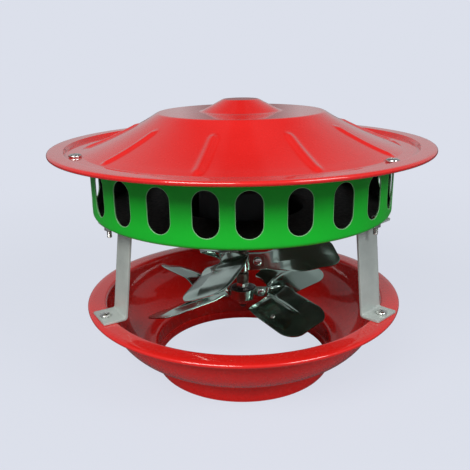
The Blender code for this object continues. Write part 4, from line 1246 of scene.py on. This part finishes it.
def stripPath(values, fan, azimuth, side, bendSteps=8):
    # plan from the middle of the wrap to the tip on the right: x, y, heading, distance past the ear
    wrap, lie, start, boltPlace = earPlaces(values, fan)
    earEnd = boltPlace + values["earMargin"] + clampBolt["headRadius"]
    fillet = values["fillet"]
    openAngle = atan2(start, lie + fillet)
    path = []
    for k in range(13):
        angle = openAngle * k / 12
        path.append((wrap * sin(angle), side * wrap * cos(angle), -side * angle, 0))
    for k in range(1, 6):
        angle = openAngle * (1 - k / 5)
        path.append((start - fillet * sin(angle), side * (lie + fillet * (1 - cos(angle))),
                     -side * angle, 0))
    path += [(start + (earEnd - start) * k / 4, side * lie, 0, 0) for k in range(1, 5)]
    if azimuth is None:
        return path
    heading = facing(azimuth)
    root = Vector((earEnd, side * lie))
    step = values["bend"] / bendSteps
    for k in range(1, bendSteps + 1):
        way = heading * (k - 0.5) / bendSteps
        root += step * Vector((cos(way), sin(way)))
        path.append((root.x, root.y, heading * k / bendSteps, step * k))
    out = Vector((cos(heading), sin(heading)))
    along = root.dot(out)
    length = sqrt(values["tipRadius"] ** 2 - root.length_squared + along ** 2) - along
    past = path[-1][3]
    tip = values["tipLength"]
    widenEnd = values["widenStart"] + values["widenLength"]
    even = length - tip - (widenEnd - past)
    stops = [past + (widenEnd - past) * k / 10 for k in range(1, 11)]
    stops += [widenEnd + even * k / 14 for k in range(1, 15)]
    stops += [past + length - tip * (1 - sin(pi / 2 * k / 14)) for k in range(1, 15)]
    for stop in stops:
        point = root + out * (stop - past)
        path.append((point.x, point.y, heading, stop))
    return path


def stripRows(values, fan, height, blade, side, turn=0):
    azimuth, liftShare, shiftShare, slowness = blade
    if azimuth is not None:
        azimuth += turn
    path = stripPath(values, fan, azimuth, side)
    end = path[-1][3]
    fold = fan["fold"]
    twist = values["twist"]
    widenLength = values["widenLength"]
    fullChord = values["chord"]
    tipShare = values["tipShare"]
    sink, sinkLength = values["ridgeFade"]
    rows = []
    for x, y, heading, past in path:
        lean = radians(90 - (90 - fan["pitch"]) * eased(past / twist / slowness))
        widened = eased((past - values["widenStart"]) / widenLength / slowness)
        risen = fullChord * liftShare * eased((past - twist) / values["rise"])
        tip = max(0.0, 1 - (end - past) / values["tipLength"]) if end else 0.0
        chord = fan["neck"] + (fullChord - fan["neck"]) * widened
        chord *= tipShare + (1 - tipShare) * sqrt(max(0.0, 1 - tip * tip))
        crease = values["crease"] * eased((past - twist) / widenLength) * eased(1 - tip)
        pressed = eased((past - twist * values["ridgeStart"]) / twist)
        ridge = fan["ridge"] * values["ridge"] * pressed
        if end:
            ridge *= 1 - eased((past / end - sink) / sinkLength)
        level = Vector((-sin(heading), cos(heading), 0))
        up = level * cos(lean) + Vector((0, 0, 1)) * sin(lean)
        normal = Vector((cos(heading), sin(heading), 0)).cross(up)
        centre = Vector((x, y, height + risen)) + up * fullChord * shiftShare * widened
        half = values["ridgeHalf"] / chord
        shares = [-0.5 + (fold - half + 0.5) * k / 5 for k in range(5)]
        shares += [fold + half * k / 4 for k in range(-4, 5)]
        shares += [fold + half + (0.5 - fold - half) * k / 7 for k in range(1, 8)]
        row = []
        for share in shares:
            off = abs(share - fold)
            lifted = crease * max(0.0, 1 - off / (0.5 + abs(fold)))
            if off < half:
                lifted += ridge * (1 - (off / half) ** 2) ** 2
            row.append(centre + up * chord * share + normal * lifted)
        rows.append(row)
    return rows


def fanHeight(level):
    low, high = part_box(f"{level}_clamp_bolt_left")
    return (low.z + high.z) / 2


def addStrip(level, which, fan, values, side):
    height = fanHeight(level)
    left, right = fan[which]
    rightRows = stripRows(values, fan, height, right, side)
    leftRows = [[Vector((-p.x, -p.y, p.z)) for p in row]
                for row in stripRows(values, fan, height, left, -side, 180)]
    node = f"{level}_fan_strip_{which}"
    mesh = sheetFrom(f"{node}_sheet", leftRows[:0:-1] + rightRows)
    boltPlace = earPlaces(values, fan)[3]
    pins = []
    for x in (-boltPlace, boltPlace):
        pin = roundPins([(0, 0)], clampBolt["radius"] + values["seat"], -drillReach, drillReach)
        pin.data.transform(Matrix.Translation((x, 0, height)) @ Matrix.Rotation(pi / 2, 4, 'X'))
        pins.append(pin)
    mesh = thickSheet(mesh, values["sheet"], values["edgeRound"], pins)
    place(mesh, f"{node}_sheet", "bladeSheet", "rotor", [node])


# Rivet on the front right blade of the lower fan, at a point of the blade's grid
rivet = {"row": 47, "column": 2, "radius": 0.0026, "height": 0.0011, "sunk": 0.0001}


def addRivet(values):
    rows = stripRows(strip, lowerFan, fanHeight("lower"), lowerFan["front"][1], -1)
    row, column = values["row"], values["column"]
    spot = rows[row][column]
    outward = rows[row + 1][column] - rows[row - 1][column]
    normal = outward.cross(rows[row][column + 1] - rows[row][column - 1]).normalized()
    if normal.z < 0:
        normal.negate()
    sunk = -values["sunk"]
    dome = arc((0, 0), values["radius"], values["height"], 90, 0, 10)
    mesh = turned("rivetMesh", dome + [(values["radius"], sunk), (0, sunk)], 28)
    place(mesh, "blade_rivet", "zinc", "rotor", [], spot + normal * strip["sheet"] / 2,
          Vector((0, 0, 1)).rotation_difference(normal).to_euler())


for level, fan in (("upper", upperFan), ("lower", lowerFan)):
    addStrip(level, "front", fan, strip, -1)
    addStrip(level, "back", fan, strip, 1)
addRivet(rivet)
print("fan strips made")
